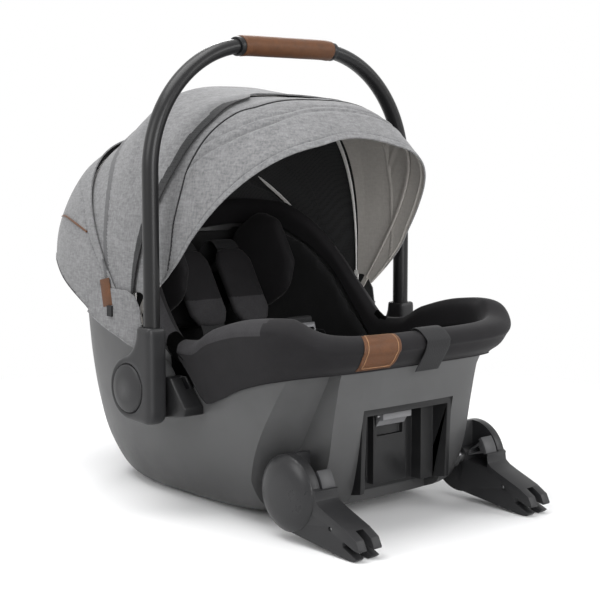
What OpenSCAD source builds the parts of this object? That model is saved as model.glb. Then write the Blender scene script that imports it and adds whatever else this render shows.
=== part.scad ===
// Infant car seat: a double skinned bucket with a fold-down carry handle, a folding
// canopy, a five point harness and two swing-out anchor arms for a vehicle's rigid
// lower anchors. Lengths in millimetres, angles in degrees. +Z up, foot end towards
// -Y, head end towards +Y, origin on the floor below the middle of the overall box.

/* [Shell] */
// Half width of the shell at its rim
shell_half_w = 172; // [166:1:174]
// Wall of the outer shell and of the inner bucket
shell_wall = 4; // [3:0.5:5]
// Height of the foot end rim above the floor
rim_front_z = 215; // [210:1:220]
// Clearance between the core and each stowed anchor arm
core_gap = 11; // [9:0.5:14]

/* [Front recess] */
// Half width of the recess in the foot end face
recess_half_w = 73; // [66:1:76]
// Height of the recess roof above the floor
recess_top_z = 141; // [136:1:145]
// Depth of the recess behind the foot end face
recess_depth = 42; // [36:1:48]
// Width of the release lever's bar
lever_w = 46; // [40:1:56]

/* [Anchor arms] */
// Spacing of the two anchor arms, centre to centre
anchor_spacing = 280; // [278:1:282]
// Diameter of the vehicle's anchor bar that the jaws take
anchor_bar_d = 6; // [6:0.1:6.2]
// Radius of the hub that each arm swings on
hub_r = 43; // [40:1:44]
// Distance from the hub's centre to the end of the jaw
arm_l = 121; // [117:1:123]
// Width of each arm
arm_w = 34; // [30:1:36]
// Angle of the arms below the horizontal
arm_drop = 22; // [21:0.5:22.5]
// Diameter of the stub axles
axle_d = 14; // [12:1:15]

/* [Handle] */
// Centre distance of the handle's two legs
handle_span = 410; // [408:1:414]
// Height of the handle's crown above the floor, outside
handle_top_z = 564; // [560:1:570]
// Radius of the bends between legs and crown
handle_bend_r = 150; // [140:1:156]
// Thickness of the handle tube in the plane of the handle
tube_t = 18; // [16:0.5:19]
// Depth of the handle tube across that plane
tube_d = 22; // [20:0.5:24]
// Wall of the handle tube
tube_wall = 2; // [1.5:0.5:3]
// Length of the leather grip over the crown
grip_l = 142; // [120:1:150]
// Thickness of the grip's padding
grip_pad = 3.5; // [2.5:0.5:5]
// Radius of the hub disc at the handle's pivot
disc_r = 38; // [36:1:39]
// Radius of the release button in the hub disc
button_r = 29; // [26:0.5:30]
// Travel of the release buttons
button_travel = 5; // [4:0.5:5]

/* [Canopy] */
// Half width of the visor, the innermost panel
visor_half_w = 186; // [185:0.5:186.5]
// Reach of the visor from the canopy's pivot
visor_r = 288; // [284:0.5:288]
// Thickness of the canopy's fabric panels
canopy_t = 2.2; // [1.8:0.1:2.4]
// How far the rear panel billows past its hoop
rear_swell = 17.2; // [14:0.2:19]
// Gap between one panel and the next one out
panel_gap = 1.2; // [0.8:0.1:1.3]

/* [Harness] */
// Width of the harness webbing
webbing_w = 38; // [25:1:40]
// Thickness of the harness webbing
webbing_t = 1.6; // [1.2:0.2:2.4]
// Width of the buckle
buckle_w = 48; // [44:1:56]
// Travel of the buckle's button
buckle_travel = 5; // [3:0.5:6]

/* [Hidden] */

left = -1;
right = 1;
fit = 0.3;
run = 0.05;
stations = 40;
rim_stations = 64;

// Shell outline: widths, ends and middles of its level sections
front_power = 4;
rear_power = 3.2;
shell_levels = [0, 5, 15, 34, 66, 100, 140, 178, 225, 262, 300, 345, 400];
width_share = [[0, 0.60], [5, 0.68], [15, 0.76], [34, 0.83], [66, 0.9], [100, 0.94],
    [140, 0.965], [178, 0.98], [225, 1], [262, 0.985], [300, 0.94], [345, 0.87], [400, 0.8]];
front_end = [[0, -70], [5, -150], [15, -200], [34, -252], [66, -262], [140, -275],
    [178, -283], [225, -300], [400, -300]];
rear_end = [[0, 135], [5, 165], [15, 188], [34, 208], [66, 228], [100, 240], [140, 249],
    [178, 255], [225, 257], [300, 248], [345, 226], [400, 200]];
middle = [[0, 0], [5, -20], [15, -60], [34, -100], [66, -130], [100, -150], [400, -150]];

// Top edge of the cover over the rim, along the seat
cover_edge = [[-320, 10], [-285, 17], [-250, 34], [-200, 30], [-130, 13], [-95, -4],
    [-66, -6], [-14, 38], [23, 85], [60, 122], [109, 144], [165, 147], [215, 138], [270, 120]];
cover_roll = 11;

// Inside line of the bucket, from the foot end to the head end
pan_line = [[-310, 190], [-262, 176], [-200, 128], [-120, 80], [-50, 52], [20, 54],
    [90, 98], [160, 180], [205, 262], [240, 318], [262, 420], [-310, 420]];

// Anchor arms
arm_x = anchor_spacing / 2;
core_half_w = arm_x - arm_w / 2 - core_gap;
hub_y = -240;
hub_z = 55;
axle_r = axle_d / 2;
jaw_r = anchor_bar_d / 2 + 0.1;
jaw_y = arm_l - 21;
jaw_drop = 2;
latch_w = 10;
latch_y = -74;
latch_z = 2;
latch_pin_r = 2.5;

// Handle
handle_y = -55;
pivot_y = -23;
pivot_z = 150.5;
column_r = 14;
column_foot_z = 125;
hub_blend = 36;
leg_x = handle_span / 2;
bend_x = leg_x - handle_bend_r;
bend_z = handle_top_z - tube_t / 2 - handle_bend_r;
collar_z = 226;
arm_inner_x = leg_x - 11;
arm_face_x = leg_x + 14;
pin_r = 8;
recess_floor_x = arm_face_x - 12.5;

// Canopy
canopy_y = 10;
canopy_z = 225;
canopy_power = 3;
hem_a = 126;
middle_a = 90;
rear_a = 48;
bow_w = 7;
bow_t = 1.8;
bow_gap = 0.3;
visor_gap = 0.8;
panel_step = canopy_t + panel_gap;
middle_half_w = visor_half_w + panel_step;
rear_half_w = middle_half_w + panel_step;
middle_r = visor_r + panel_step;
middle_swell = 12;
rear_rest_r = middle_r + middle_swell + panel_step;
rear_r = rear_rest_r + rear_swell;
rear_tuck = 68;

// Level section of the shell, grown outwards by g, at height z and angle t
function section_w(z, g) = lookup(z, width_share) * shell_half_w + g;
function section_y(z, s, g) = let (m = lookup(z, middle))
    s < 0 ? m - lookup(z, front_end) + g : lookup(z, rear_end) + g - m;
function sign_pow(v, p) = sign(v) * pow(abs(v), p);
function plan(t, z, g) = let (c = cos(t), s = sin(t), n = s < 0 ? front_power : rear_power,
    k = pow(pow(abs(c), n) + pow(abs(s), n), -1 / n))
    [section_w(z, g) * c * k, lookup(z, middle) + section_y(z, s, g) * s * k, z];
function ring(z, g) = [for (i = [0:stations - 1]) plan(360 * i / stations, z, g)];

// Height of the cover's top edge above a place y along the seat
function cover_z(y) = rim_front_z + lookup(y, cover_edge);

// Stack of closed rings with flat ends
module loft(rings) {
    n = len(rings[0]);
    k = len(rings);
    polyhedron(
        points = [for (r = rings) each r],
        faces = concat(
            [[for (i = [0:n - 1]) i]],
            [for (j = [0:k - 2]) for (i = [0:n - 1]) each let (a = j * n + i, b = j * n + (i + 1) % n)
                [[a, a + n, b], [b, a + n, b + n]]],
            [[for (i = [n - 1:-1:0]) (k - 1) * n + i]]),
        convexity = 6);
}

// Closed band of equal sections, the last joined to the first
module band(sections) {
    n = len(sections[0]);
    k = len(sections);
    polyhedron(
        points = [for (s = sections) each s],
        faces = [for (j = [0:k - 1]) for (i = [0:n - 1]) each
            let (a = j * n + i, b = j * n + (i + 1) % n, c = ((j + 1) % k) * n + i, d = ((j + 1) % k) * n + (i + 1) % n)
            [[a, b, c], [b, d, c]]],
        convexity = 6);
}

// Curved sheet between two grids of points, outside and inside
module sheet(outside, inside) {
    rows = len(outside);
    cols = len(outside[0]);
    all = rows * cols;
    top = [for (j = [0:rows - 2]) for (i = [0:cols - 2]) each
        let (a = j * cols + i) [[a, a + 1, a + cols], [a + 1, a + cols + 1, a + cols]]];
    edge = concat([for (i = [0:cols - 1]) i], [for (j = [1:rows - 1]) j * cols + cols - 1],
        [for (i = [cols - 2:-1:0]) (rows - 1) * cols + i], [for (j = [rows - 2:-1:1]) j * cols]);
    m = len(edge);
    polyhedron(
        points = concat([for (r = outside) each r], [for (r = inside) each r]),
        faces = concat(top, [for (f = top) [f[0] + all, f[2] + all, f[1] + all]],
            [for (i = [0:m - 1]) each let (a = edge[i], b = edge[(i + 1) % m])
                [[a, a + all, b], [b, a + all, b + all]]]),
        convexity = 6);
}

// Soft block with crowned faces and rounded corners, on its own centre
module cushion(size, power = 3, n = 24) {
    levels = [-90, -60, -25, 25, 60, 90];
    loft([for (a = levels) let (c = max(pow(abs(cos(a)), 2 / power), 0.35), s = sign_pow(sin(a), 2 / power))
        [for (i = [0:n - 1]) let (t = 360 * i / n)
            [size[0] / 2 * c * sign_pow(cos(t), 2 / power),
             size[1] / 2 * c * sign_pow(sin(t), 2 / power), size[2] / 2 * s]]]);
}

// Flat outline in the side view (y, z), given a thickness across the seat
module across(x0, x1) {
    translate([x0, 0, 0])
        rotate([90, 0, 90])
            linear_extrude(x1 - x0)
                children();
}

// Rod across the seat at (y, z)
module rod(x0, x1, y, z, r, fn = 48) {
    translate([x0, y, z])
        rotate([0, 90, 0])
            cylinder(h = x1 - x0, r = r, $fn = fn);
}

module mirrored(side) {
    if (side == left)
        mirror([1, 0, 0]) children();
    else
        children();
}

// ---- shell ----

// Channel beside the core that an arm swings up into, its walls moved by g
module channel(g) {
    deep = [[-340, 186 + g], [-262 + g, 186 + g], [-190 + g, 55], [-176 + g, -20], [-340, -20]];
    wide = [[-340, 190 + g], [-236 + g, 190 + g], [-152 + g, 55], [-110 + g, -20], [-340, -20]];
    for (side = [left, right])
        mirrored(side)
            loft([[for (p = wide) [shell_half_w + 14, p[0], p[1]]],
                  [for (p = deep) [core_half_w - g, p[0], p[1]]]]);
}

// Recess in the foot end face, open at the floor
module front_recess(g) {
    translate([-recess_half_w - g, -340, -20])
        cube([2 * (recess_half_w + g), 340 - 270 + recess_depth + g, recess_top_z + 20 + g]);
}

// All that lies above the rim, lowered by drop from the cover's edge
module above_rim(drop) {
    across(-230, 230)
        polygon(concat([for (p = cover_edge) [p[0], rim_front_z + p[1] - drop]], [[270, 480], [-320, 480]]));
}

module outer_shell() color("dimgray") {
    difference() {
        loft([for (z = shell_levels) ring(z, 0)]);
        channel(0);
        front_recess(0);
        difference() {
            loft([for (z = [for (l = shell_levels) if (l > shell_wall) l]) ring(z, -shell_wall)]);
            channel(shell_wall);
            front_recess(shell_wall);
        }
        above_rim(cover_roll);
        for (side = [left, right])
            mirrored(side)
                rod(core_half_w - 20, core_half_w + 10, hub_y, hub_z, axle_r + 4);
    }
    for (side = [left, right])
        mirrored(side)
            difference() {
                rod(core_half_w - 20, core_half_w, hub_y, hub_z, axle_r + 4, 64);
                rod(core_half_w - 16, core_half_w + 1, hub_y, hub_z, axle_r + fit, 64);
            }
}

// Bucket form that the child sits in, moved inwards by g
module bucket_form(g) {
    difference() {
        intersection() {
            loft([for (z = [40, 66, 100, 140, 178, 225, 262, 300, 345, 400]) ring(z, -g)]);
            across(-230, 230)
                polygon([for (p = pan_line) [p[0], p[1] + g * 1.3]]);
        }
        channel(g);
    }
}

module inner_bucket() color("gray") {
    difference() {
        bucket_form(shell_wall + fit);
        bucket_form(2 * shell_wall + fit);
        above_rim(cover_roll);
    }
}

// Housing that lines the recess, with the guide slots of the release lever
module front_panel() color("darkslategray") {
    face_y = -270 + recess_depth;
    difference() {
        across(-recess_half_w + fit, recess_half_w - fit)
            polygon([[-272, recess_top_z - fit], [face_y - fit, recess_top_z - fit], [face_y - fit, 36],
                [-268, 44]]);
        translate([-recess_half_w + 7, -300, 20])
            cube([2 * recess_half_w - 14, 300 + face_y - 4, recess_top_z - 20 - 8]);
        for (x = [-lever_w / 2 - 14, lever_w / 2 + 6])
            translate([x, face_y - 8, 52])
                cube([8, 20, 62]);
    }
    difference() {
        translate([-lever_w / 2 - 4, face_y - 14, 44])
            cube([lever_w + 8, 10.2, 84]);
        translate([-lever_w / 2 + 2, face_y - 20, 100])
            cube([lever_w - 4, 12, 40]);
    }
    for (x = [-recess_half_w + 7, recess_half_w - 27])
        translate([x - 0.1, face_y - 20, 40])
            cube([20.2, 16.2, 92]);
}

// ---- anchor arms ----

// Places a child drawn along -Y from the hub's centre, at the arm's own angle
module on_arm() {
    translate([0, hub_y, hub_z])
        rotate([arm_drop, 0, 0])
            children();
}

// Hollow stub that an arm swings on, set in the boss of the core
module axle_stub(side) color("silver") {
    mirrored(side)
        difference() {
            rod(core_half_w - 15.7, arm_x + 22, hub_y, hub_z, axle_r, 96);
            rod(core_half_w - 17, arm_x + 23, hub_y, hub_z, axle_r - 2.5, 96);
        }
}

// Side view of an arm: hub, tapered beam and the open jaw at its end
module arm_outline() {
    difference() {
        union() {
            circle(r = hub_r, $fn = 96);
            polygon([[-14, 30], [-60, 22], [-arm_l + 22, 14], [-arm_l + 8, 12], [-arm_l, 5],
                [-arm_l - 0.5, 1.6], [-arm_l - 0.5, -jaw_r - jaw_drop], [-arm_l + 2, -10],
                [-arm_l + 12, -14], [-60, -27], [-26, -36], [0, -hub_r + 1]]);
        }
        translate([-jaw_y, -jaw_drop])
            circle(r = jaw_r, $fn = 48);
        polygon([[-jaw_y, jaw_r - jaw_drop], [-jaw_y, -jaw_r - jaw_drop], [-arm_l - 4, -jaw_r - jaw_drop - 0.6],
            [-arm_l - 4, jaw_r - jaw_drop + 2.4], [-arm_l + 9, jaw_r - jaw_drop]]);
    }
}

// Sector of a ring in the side view, between two angles from the arm's direction
module ring_sector(r0, r1, a0, a1, n = 12) {
    polygon(concat([for (i = [0:n]) let (a = a0 + (a1 - a0) * i / n) r0 * [-cos(a), sin(a)]],
        [for (i = [n:-1:0]) let (a = a0 + (a1 - a0) * i / n) r1 * [-cos(a), sin(a)]]));
}

module isofix_arm(side) color("dimgray") {
    mirrored(side)
        difference() {
            on_arm()
                across(arm_x - arm_w / 2, arm_x + arm_w / 2)
                    arm_outline();
            rod(arm_x - arm_w, arm_x + arm_w, hub_y, hub_z, axle_r + run, 96);
            on_arm()
                across(arm_x - arm_w / 2 - 1, arm_x + 6)
                    ring_sector(axle_r + 5, hub_r + 2, 14, 112);
            on_arm()
                translate([arm_x - latch_w / 2 - fit, -arm_l - 10, -24])
                    cube([latch_w + 2 * fit, arm_l - 52, 38]);
            on_arm()
                rod(arm_x - arm_w, arm_x + arm_w, latch_y, latch_z, latch_pin_r + run, 96);
        }
}

// Domed cover over the outer face of a hub
module isofix_cover(side) color("gray") {
    x0 = arm_x + arm_w / 2;
    mirrored(side)
        translate([x0, hub_y, hub_z])
            rotate([0, 90, 0])
                rotate_extrude($fn = 96)
                    polygon([[0, 9], [hub_r * 0.5, 8.4], [hub_r * 0.75, 6.6], [hub_r * 0.92, 3.4],
                        [hub_r, 0], [axle_r + 1, 0], [axle_r + 1, 6], [0, 6]]);
}

// Flanged lever that unlocks an arm, turning on the same axle inside the hub
module isofix_release(side) color("silver") {
    x0 = arm_x - arm_w / 2 + 2;
    a = 48;
    mirrored(side)
        on_arm() {
            across(x0, x0 + 12)
                difference() {
                    ring_sector(axle_r + 6, hub_r - 4, a - 11, a + 11);
                    ring_sector(axle_r + 10, hub_r - 9, a - 6, a + 6);
                }
            across(x0 - 1, x0 + 18)
                ring_sector(hub_r - 4.1, hub_r + 1, a - 13, a + 15);
        }
}

// Hook that closes the jaw round the anchor bar, on its own pin
module isofix_latch(side) color("silver") {
    x0 = arm_x - latch_w / 2;
    mirrored(side)
        on_arm() {
            across(x0, x0 + latch_w)
                polygon([[latch_y + 8, latch_z + 4], [latch_y + 9, latch_z - 5], [latch_y - 2, latch_z - 8],
                    [-jaw_y + 5, -12], [-jaw_y - 8, -11.5], [-jaw_y - 8, -8], [-jaw_y + 5, -7],
                    [latch_y - 7, latch_z + 1], [latch_y - 2, latch_z + 6]]);
            rod(arm_x - arm_w / 2 + 2, arm_x + arm_w / 2 - 2, latch_y, latch_z, latch_pin_r, 96);
        }
}

// ---- handle ----

function oval(a, b, n = 32) = [for (i = [0:n - 1]) [a * cos(360 * i / n), b * sin(360 * i / n)]];

// Section drawn by its child, carried over the crown, down both bends for sweep degrees, and on by leg
module over_crown(sweep, leg = 0) {
    translate([-bend_x, handle_y, bend_z + handle_bend_r])
        rotate([0, 90, 0])
            linear_extrude(2 * bend_x)
                children();
    for (side = [left, right])
        mirrored(side) {
            translate([bend_x, handle_y, bend_z])
                rotate([90, 0, 0])
                    rotate([0, 0, 90 - sweep])
                        rotate_extrude(angle = sweep, $fn = 180)
                            translate([handle_bend_r, 0])
                                children();
            if (leg > 0)
                translate([leg_x, handle_y, bend_z - leg])
                    linear_extrude(leg)
                        children();
        }
}

socket_depth = 40;
leg_l = bend_z - collar_z + socket_depth;
grip_sweep = asin((grip_l / 2 - bend_x) / handle_bend_r);

module handle_tube() color("darkslategray") {
    over_crown(90, leg_l)
        difference() {
            polygon(oval(tube_t / 2, tube_d / 2));
            polygon(oval(tube_t / 2 - tube_wall, tube_d / 2 - tube_wall));
        }
}

module handle_grip() color("saddlebrown") {
    over_crown(grip_sweep)
        difference() {
            polygon(oval(tube_t / 2 + grip_pad, tube_d / 2 + grip_pad));
            polygon(oval(tube_t / 2 + run, tube_d / 2 + run));
        }
}

// Collar that closes one end of the grip
module grip_end(side) color("black") {
    a = tube_t / 2;
    b = tube_d / 2;
    mirrored(side)
        translate([bend_x, handle_y, bend_z])
            rotate([90, 0, 0])
                rotate([0, 0, 90 - grip_sweep - 2.6])
                    rotate_extrude(angle = 2.5, $fn = 180)
                        translate([handle_bend_r, 0])
                            difference() {
                                polygon(oval(a + grip_pad - 0.8, b + grip_pad - 0.8));
                                polygon(oval(a + run, b + run));
                            }
}

// Side view of a handle arm, drawn in by e: socket column, blend, pivot disc, rounded foot
function arc(y, z, r, a0, a1, n = 12) = [for (i = [0:n]) let (a = a0 + (a1 - a0) * i / n)
    [y + r * cos(a), z + r * sin(a)]];
function handle_side(e) = let (r = disc_r - e, c = column_r - e, f = hub_blend + e,
    fy = handle_y + column_r + hub_blend, fz = pivot_z + sqrt(pow(disc_r + hub_blend, 2) - pow(fy - pivot_y, 2)),
    a = atan2(fz - pivot_z, fy - pivot_y), d = [pivot_y - handle_y, pivot_z - column_foot_z],
    low = atan2(d[1], d[0]) - acos((c - r) / norm(d)))
    concat([[handle_y - c, collar_z], [handle_y + c, collar_z]], arc(fy, fz, f, 180, 180 + a, 8),
        arc(pivot_y, pivot_z, r, a, low, 24), arc(handle_y, column_foot_z, c, low, -180, 8));

// Moulded arm from the pivot disc up to the socket that holds a leg
module handle_arm(side) color("dimgray") {
    mirrored(side)
        difference() {
            union() {
                across(arm_inner_x + 2, arm_face_x - 4)
                    polygon(handle_side(0));
                across(arm_inner_x, arm_face_x - 2)
                    polygon(handle_side(1.5));
                across(arm_inner_x, arm_face_x)
                    polygon(handle_side(3.5));
            }
            rod(arm_inner_x - 1, recess_floor_x + 1, pivot_y, pivot_z, pin_r + run, 96);
            rod(recess_floor_x, arm_face_x + 1, pivot_y, pivot_z, button_r + 2 * run, 96);
            translate([leg_x, handle_y, collar_z - socket_depth])
                linear_extrude(socket_depth + 1)
                    polygon(oval(tube_t / 2 + run, tube_d / 2 + run));
        }
}

// Round button in the disc's face that frees the handle
module handle_button(side) color("gray") {
    rest = recess_floor_x + button_travel + 0.5;
    mirrored(side)
        translate([rest, pivot_y, pivot_z])
            rotate([0, 90, 0])
                rotate_extrude($fn = 96)
                    polygon([[0, 0], [button_r, 0], [button_r, arm_face_x - rest - 1],
                        [button_r - 1.5, arm_face_x - rest + 1], [button_r * 0.6, arm_face_x - rest + 3],
                        [0, arm_face_x - rest + 3.6]]);
}

// Boss on the shell's flank that carries the handle's pin
module handle_mount(side) color("dimgray") {
    foot_x = section_w(pivot_z, 0) * 0.9;
    mirrored(side)
        union() {
            difference() {
                rod(foot_x, arm_inner_x - fit, pivot_y, pivot_z, disc_r - 7, 64);
                loft([for (z = [66, 100, 140, 178, 225]) ring(z, fit)]);
            }
            rod(arm_inner_x - 1, recess_floor_x - fit, pivot_y, pivot_z, pin_r, 96);
        }
}

// Hook beside the handle's hub that the vehicle's lap belt runs under
module belt_guide(side) color("black") {
    mirrored(side)
        difference() {
            across(section_w(150, 0) * 0.9, arm_inner_x - 1)
                polygon([[-58, 117], [-100, 124], [-101, 134], [-74, 166], [-58, 166]]);
            loft([for (z = [100, 140, 178, 225]) ring(z, fit)]);
            across(section_w(150, 0) + 5, section_w(150, 0) + 11)
                polygon([[-66, 105], [-84, 105], [-84, 180], [-66, 180]]);
        }
}

// Bar that the hand pulls to free both arms, hung on the front panel
module release_lever() color("gray") {
    face_y = -270 + recess_depth;
    difference() {
        across(-lever_w / 2, lever_w / 2)
            polygon([[face_y - 14.3, 112], [face_y - 14.3, 124], [face_y - 15.8, 130], [face_y - 26, 128],
                [face_y - 26, 121], [face_y - 19, 119]]);
        rod(-lever_w, lever_w, face_y - 18.5, 125, 2 + run);
    }
}

module lever_rivet() color("silver") {
    face_y = -270 + recess_depth;
    rod(-lever_w / 2 - 3.5, lever_w / 2 + 3.5, face_y - 18.5, 125, 2);
}

// ---- canopy ----

// Point on the canopy's arch at u degrees round it, in a half plane at angle a
function arch(u, half_w, r) = [half_w * sign_pow(cos(u), 2 / canopy_power), r * pow(sin(u), 2 / canopy_power)];
function canopy_point(u, a, half_w, r) = let (p = arch(u, half_w, r))
    [p[0], canopy_y + p[1] * cos(a), canopy_z + p[1] * sin(a)];
arch_angles = [2.5, 6, 11, 17, 23, 30, 37, 45, 53, 62, 71, 80, 90, 100, 109, 118, 127, 135, 143, 150, 157,
    163, 169, 174, 177.5];

// Fabric panel through a list of [angle, reach], outside, at one half width
module canopy_panel(half_w, line) {
    grids = [for (d = [0, canopy_t]) [for (k = line)
        [for (u = arch_angles) canopy_point(u, k[0], half_w - d, k[1] - d)]]];
    sheet(grids[0], grids[1]);
}

// Plastic bow in the plane at angle a, its outside arch given, from the pivot if it has eyes
module canopy_bow(a, half_w, r, has_eyes) {
    outline = [for (u = arch_angles) arch(u, half_w, r)];
    inner = [for (u = arch_angles) arch(u, half_w - bow_t, r - bow_t)];
    n = len(inner);
    difference() {
        union() {
            translate([0, canopy_y, canopy_z])
                rotate([a, 0, 0])
                    translate([0, 0, -bow_w / 2])
                        linear_extrude(bow_w)
                            polygon(concat(outline, [for (i = [n - 1:-1:0]) inner[i]]));
            if (has_eyes)
                for (side = [left, right])
                    mirrored(side) {
                        rod(half_w - bow_t, half_w, canopy_y, canopy_z, 13);
                        translate([0, canopy_y, canopy_z])
                            rotate([a, 0, 0])
                                translate([half_w - bow_t, 0, -bow_w / 2])
                                    cube([bow_t, arch(arch_angles[0], half_w, r)[1] + 2, bow_w]);
                    }
        }
        if (has_eyes)
            for (side = [left, right])
                mirrored(side)
                    rod(half_w - 10, half_w + 10, canopy_y, canopy_z, canopy_pin_r + run, 96);
    }
}

canopy_pin_r = 4;

module canopy_front_bow() color("gray") {
    d = canopy_t + visor_gap;
    canopy_bow(hem_a - 2, visor_half_w - d, visor_r - d, true);
}

module canopy_visor() color("lightgray") {
    canopy_panel(visor_half_w, [for (k = [0:6]) [hem_a + (middle_a - 8 - hem_a) * k / 6, visor_r]]);
}

module canopy_middle_bow() color("black") {
    d = bow_t + bow_gap;
    canopy_bow(middle_a, middle_half_w + d, middle_r + d, true);
}

module canopy_middle_panel() color("lightgray") {
    canopy_panel(middle_half_w, concat([[middle_a + 2, middle_r]],
        [for (k = [0:5]) [middle_a - 5 + (rear_a + 2 - middle_a) * k / 5, middle_r + middle_swell * k / 5]]));
}

module canopy_rear_bow() color("gray") {
    d = bow_t + bow_gap;
    canopy_bow(rear_a - 2, rear_half_w + d - 0.1, rear_rest_r + d + 3, false);
}

module canopy_rear_panel() color("lightgray") {
    canopy_panel(rear_half_w, [[rear_a, rear_rest_r], [40, rear_r - 7], [32, rear_r - 1], [24, rear_r],
        [16, rear_r - 5], [8, rear_r - 18], [0, rear_r - 44], [-6, rear_r - rear_tuck]]);
}

// Clip on the shell's flank with the pin that the bows turn on
module canopy_clip(side) color("black") {
    mirrored(side) {
        rod(visor_half_w - 13, middle_half_w + bow_t + 2 * bow_gap, canopy_y, canopy_z, canopy_pin_r, 96);
        difference() {
            across(section_w(225, 0) * 0.9, visor_half_w - canopy_t - visor_gap - bow_t - fit)
                polygon([[canopy_y - 12, canopy_z + 12], [canopy_y - 12, canopy_z - 34],
                    [canopy_y + 12, canopy_z - 34], [canopy_y + 12, canopy_z + 12]]);
            loft([for (z = [140, 178, 225, 262, 300]) ring(z, fit)]);
        }
    }
}

// Leather pull tab sewn to the rear panel's near edge
module canopy_tag() color("peru") {
    x = rear_half_w + fit;
    translate([-x - 1.2, canopy_y + 44, canopy_z + 8])
        rotate([-12, 0, 0])
            cube([1.2, 20, 34]);
}

// ---- fabric on the seat ----

hem_line = [[-320, 189], [-285, 186], [-240, 178], [-174, 161], [-128, 143], [-112, 138], [-78, 170],
    [-66, 186], [-50, 190], [0, 212], [40, 250], [80, 290], [130, 315], [270, 290]];
bulge_line = [[-320, 15], [-250, 16], [-120, 12], [-60, 9], [-20, 6], [30, 4], [270, 3]];

// Height of the cover's top edge at angle t round the rim
function edge_z(t, z = 225, left_to_do = 3) = let (e = cover_z(plan(t, z, 0)[1]))
    left_to_do == 0 ? e : edge_z(t, e, left_to_do - 1);

function cover_section(t) = let (
    top = edge_z(t),
    y = plan(t, top, 0)[1],
    hem = min(lookup(y, hem_line), top - 30),
    b = lookup(y, bulge_line),
    step = shell_wall,
    seat = top - cover_roll + 1)
    [plan(t, hem, 0.7), plan(t, hem, 3.2), plan(t, hem + (top - hem) * 0.45, b * 0.8),
     plan(t, top - 14, b), plan(t, top - 4, b * 0.55), plan(t, top, -step), plan(t, top - 4, -2.6 * step),
     plan(t, top - 14, -4.2 * step), plan(t, top - 36, -4.2 * step), plan(t, top - 36, -2.4 * step),
     plan(t, seat, -2.4 * step), plan(t, seat, 0.7)];

// Padded cover that wraps the rim and hangs down outside the shell
module rim_cover() color("black") {
    skin = 2 * shell_wall + 2 * fit;
    difference() {
        band([for (i = [0:rim_stations - 1]) cover_section(360 * i / rim_stations)]);
        difference() {
            loft([for (z = shell_levels) ring(z, fit)]);
            loft([for (z = shell_levels) ring(z + (z == 0 ? -1 : z == 400 ? 1 : 0), -skin)]);
            above_rim(cover_roll - fit);
        }
        difference() {
            loft([for (z = shell_levels) ring(z, -skin - 0.1)]);
            above_rim(36);
        }
        for (side = [left, right])
            mirrored(side) {
                across(150, 200)
                    polygon([[-50, 110], [-103, 118], [-104, 135], [-76, 168], [-50, 168]]);
                rod(150, 200, pivot_y, pivot_z, disc_r - 6);
                across(150, 200)
                    polygon([[canopy_y - 12.5, canopy_z + 13], [canopy_y - 12.5, canopy_z - 40],
                        [canopy_y + 12.5, canopy_z - 40], [canopy_y + 12.5, canopy_z + 13]]);
            }
    }
}

liner_gap = 2 * shell_wall + fit + 0.7;
liner_t = 12;

// Padded lining of the bucket below the rim cover
module seat_liner() color("dimgray") {
    difference() {
        bucket_form(liner_gap);
        bucket_form(liner_gap + liner_t);
        above_rim(37);
    }
}

// Height of the liner's upper face above a place y in the middle of the seat
function liner_z(y) = lookup(y, pan_line_low) + 1.3 * (liner_gap + liner_t);
pan_line_low = [for (i = [0:9]) pan_line[i]];

insert_places = [-130, -100, -70, -40, -10, 20, 50, 80, 105, 125];
function on_liner(y, up) = [y, liner_z(y) + fit + up];

// Body pad for a small baby, lying in the bucket
module seat_insert() color("black") {
    across(-78, 78)
        polygon(concat([for (y = insert_places) on_liner(y, 0)],
            [for (i = [len(insert_places) - 1:-1:0]) on_liner(insert_places[i], i == 0 || i == len(insert_places) - 1 ? 8 : 20)]));
    for (side = [left, right])
        mirrored(side)
            across(78, 104)
                polygon(concat([for (y = insert_places) on_liner(y, 0.5)],
                    [for (i = [len(insert_places) - 1:-1:0]) on_liner(insert_places[i], 26 + 34 * sin(180 * i / (len(insert_places) - 1)))]));
}

// Frame along the backrest: x across, y forwards from it, z up along it
back_tilt = 58;
back_y = 160;
back_z = 209;
module on_back(up, out) {
    translate([0, back_y, back_z])
        rotate([back_tilt - 90, 0, 0])
            translate([0, -out, up])
                children();
}

head_out = 9;
wing_x = 88;

module head_support() color("black") {
    on_back(18, head_out + 9)
        cushion([124, 18, 108], 4, 20);
    on_back(-20, 0)
        translate([-20, -head_out - 1, -5])
            cube([40, head_out - 3, 10]);
    for (side = [left, right])
        mirrored(side)
            on_back(26, head_out + 82)
                translate([wing_x, 0, 0])
                    cushion([26, 128, 124], 2.6, 20);
    for (side = [left, right])
        mirrored(side)
            on_back(18, head_out + 18)
                translate([68, 0, 0])
                    cube([32, 28, 50], center = true);
}

strap_x = 36;
pad_out = 92;
pad_up = -10;
pad_l = 112;

// Pad round a shoulder strap
module shoulder_pad(side) color("black") {
    mirrored(side)
        on_back(pad_up, pad_out)
            translate([strap_x, 0, 0])
                difference() {
                    cushion([62, 15, pad_l], 4, 20);
                    cube([webbing_w + 2 * fit, webbing_t + 2 * fit, pad_l + 10], center = true);
                }
}

// Place in the side view at a height up the backrest and a distance out from it
function back_point(up, out) = [back_y + up * cos(back_tilt) - out * sin(back_tilt),
    back_z + up * sin(back_tilt) + out * cos(back_tilt)];

// Outline of a strip of thickness t along a line of points
function side_of(a, b) = let (d = b - a) [-d[1], d[0]] / norm(d);
function strip(line, t) = let (n = len(line), m = [for (i = [0:n - 1])
        let (v = side_of(line[max(i - 1, 0)], line[min(i + 1, n - 1)])) v * t / 2])
    concat([for (i = [0:n - 1]) line[i] + m[i]], [for (i = [n - 1:-1:0]) line[i] - m[i]]);

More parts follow.
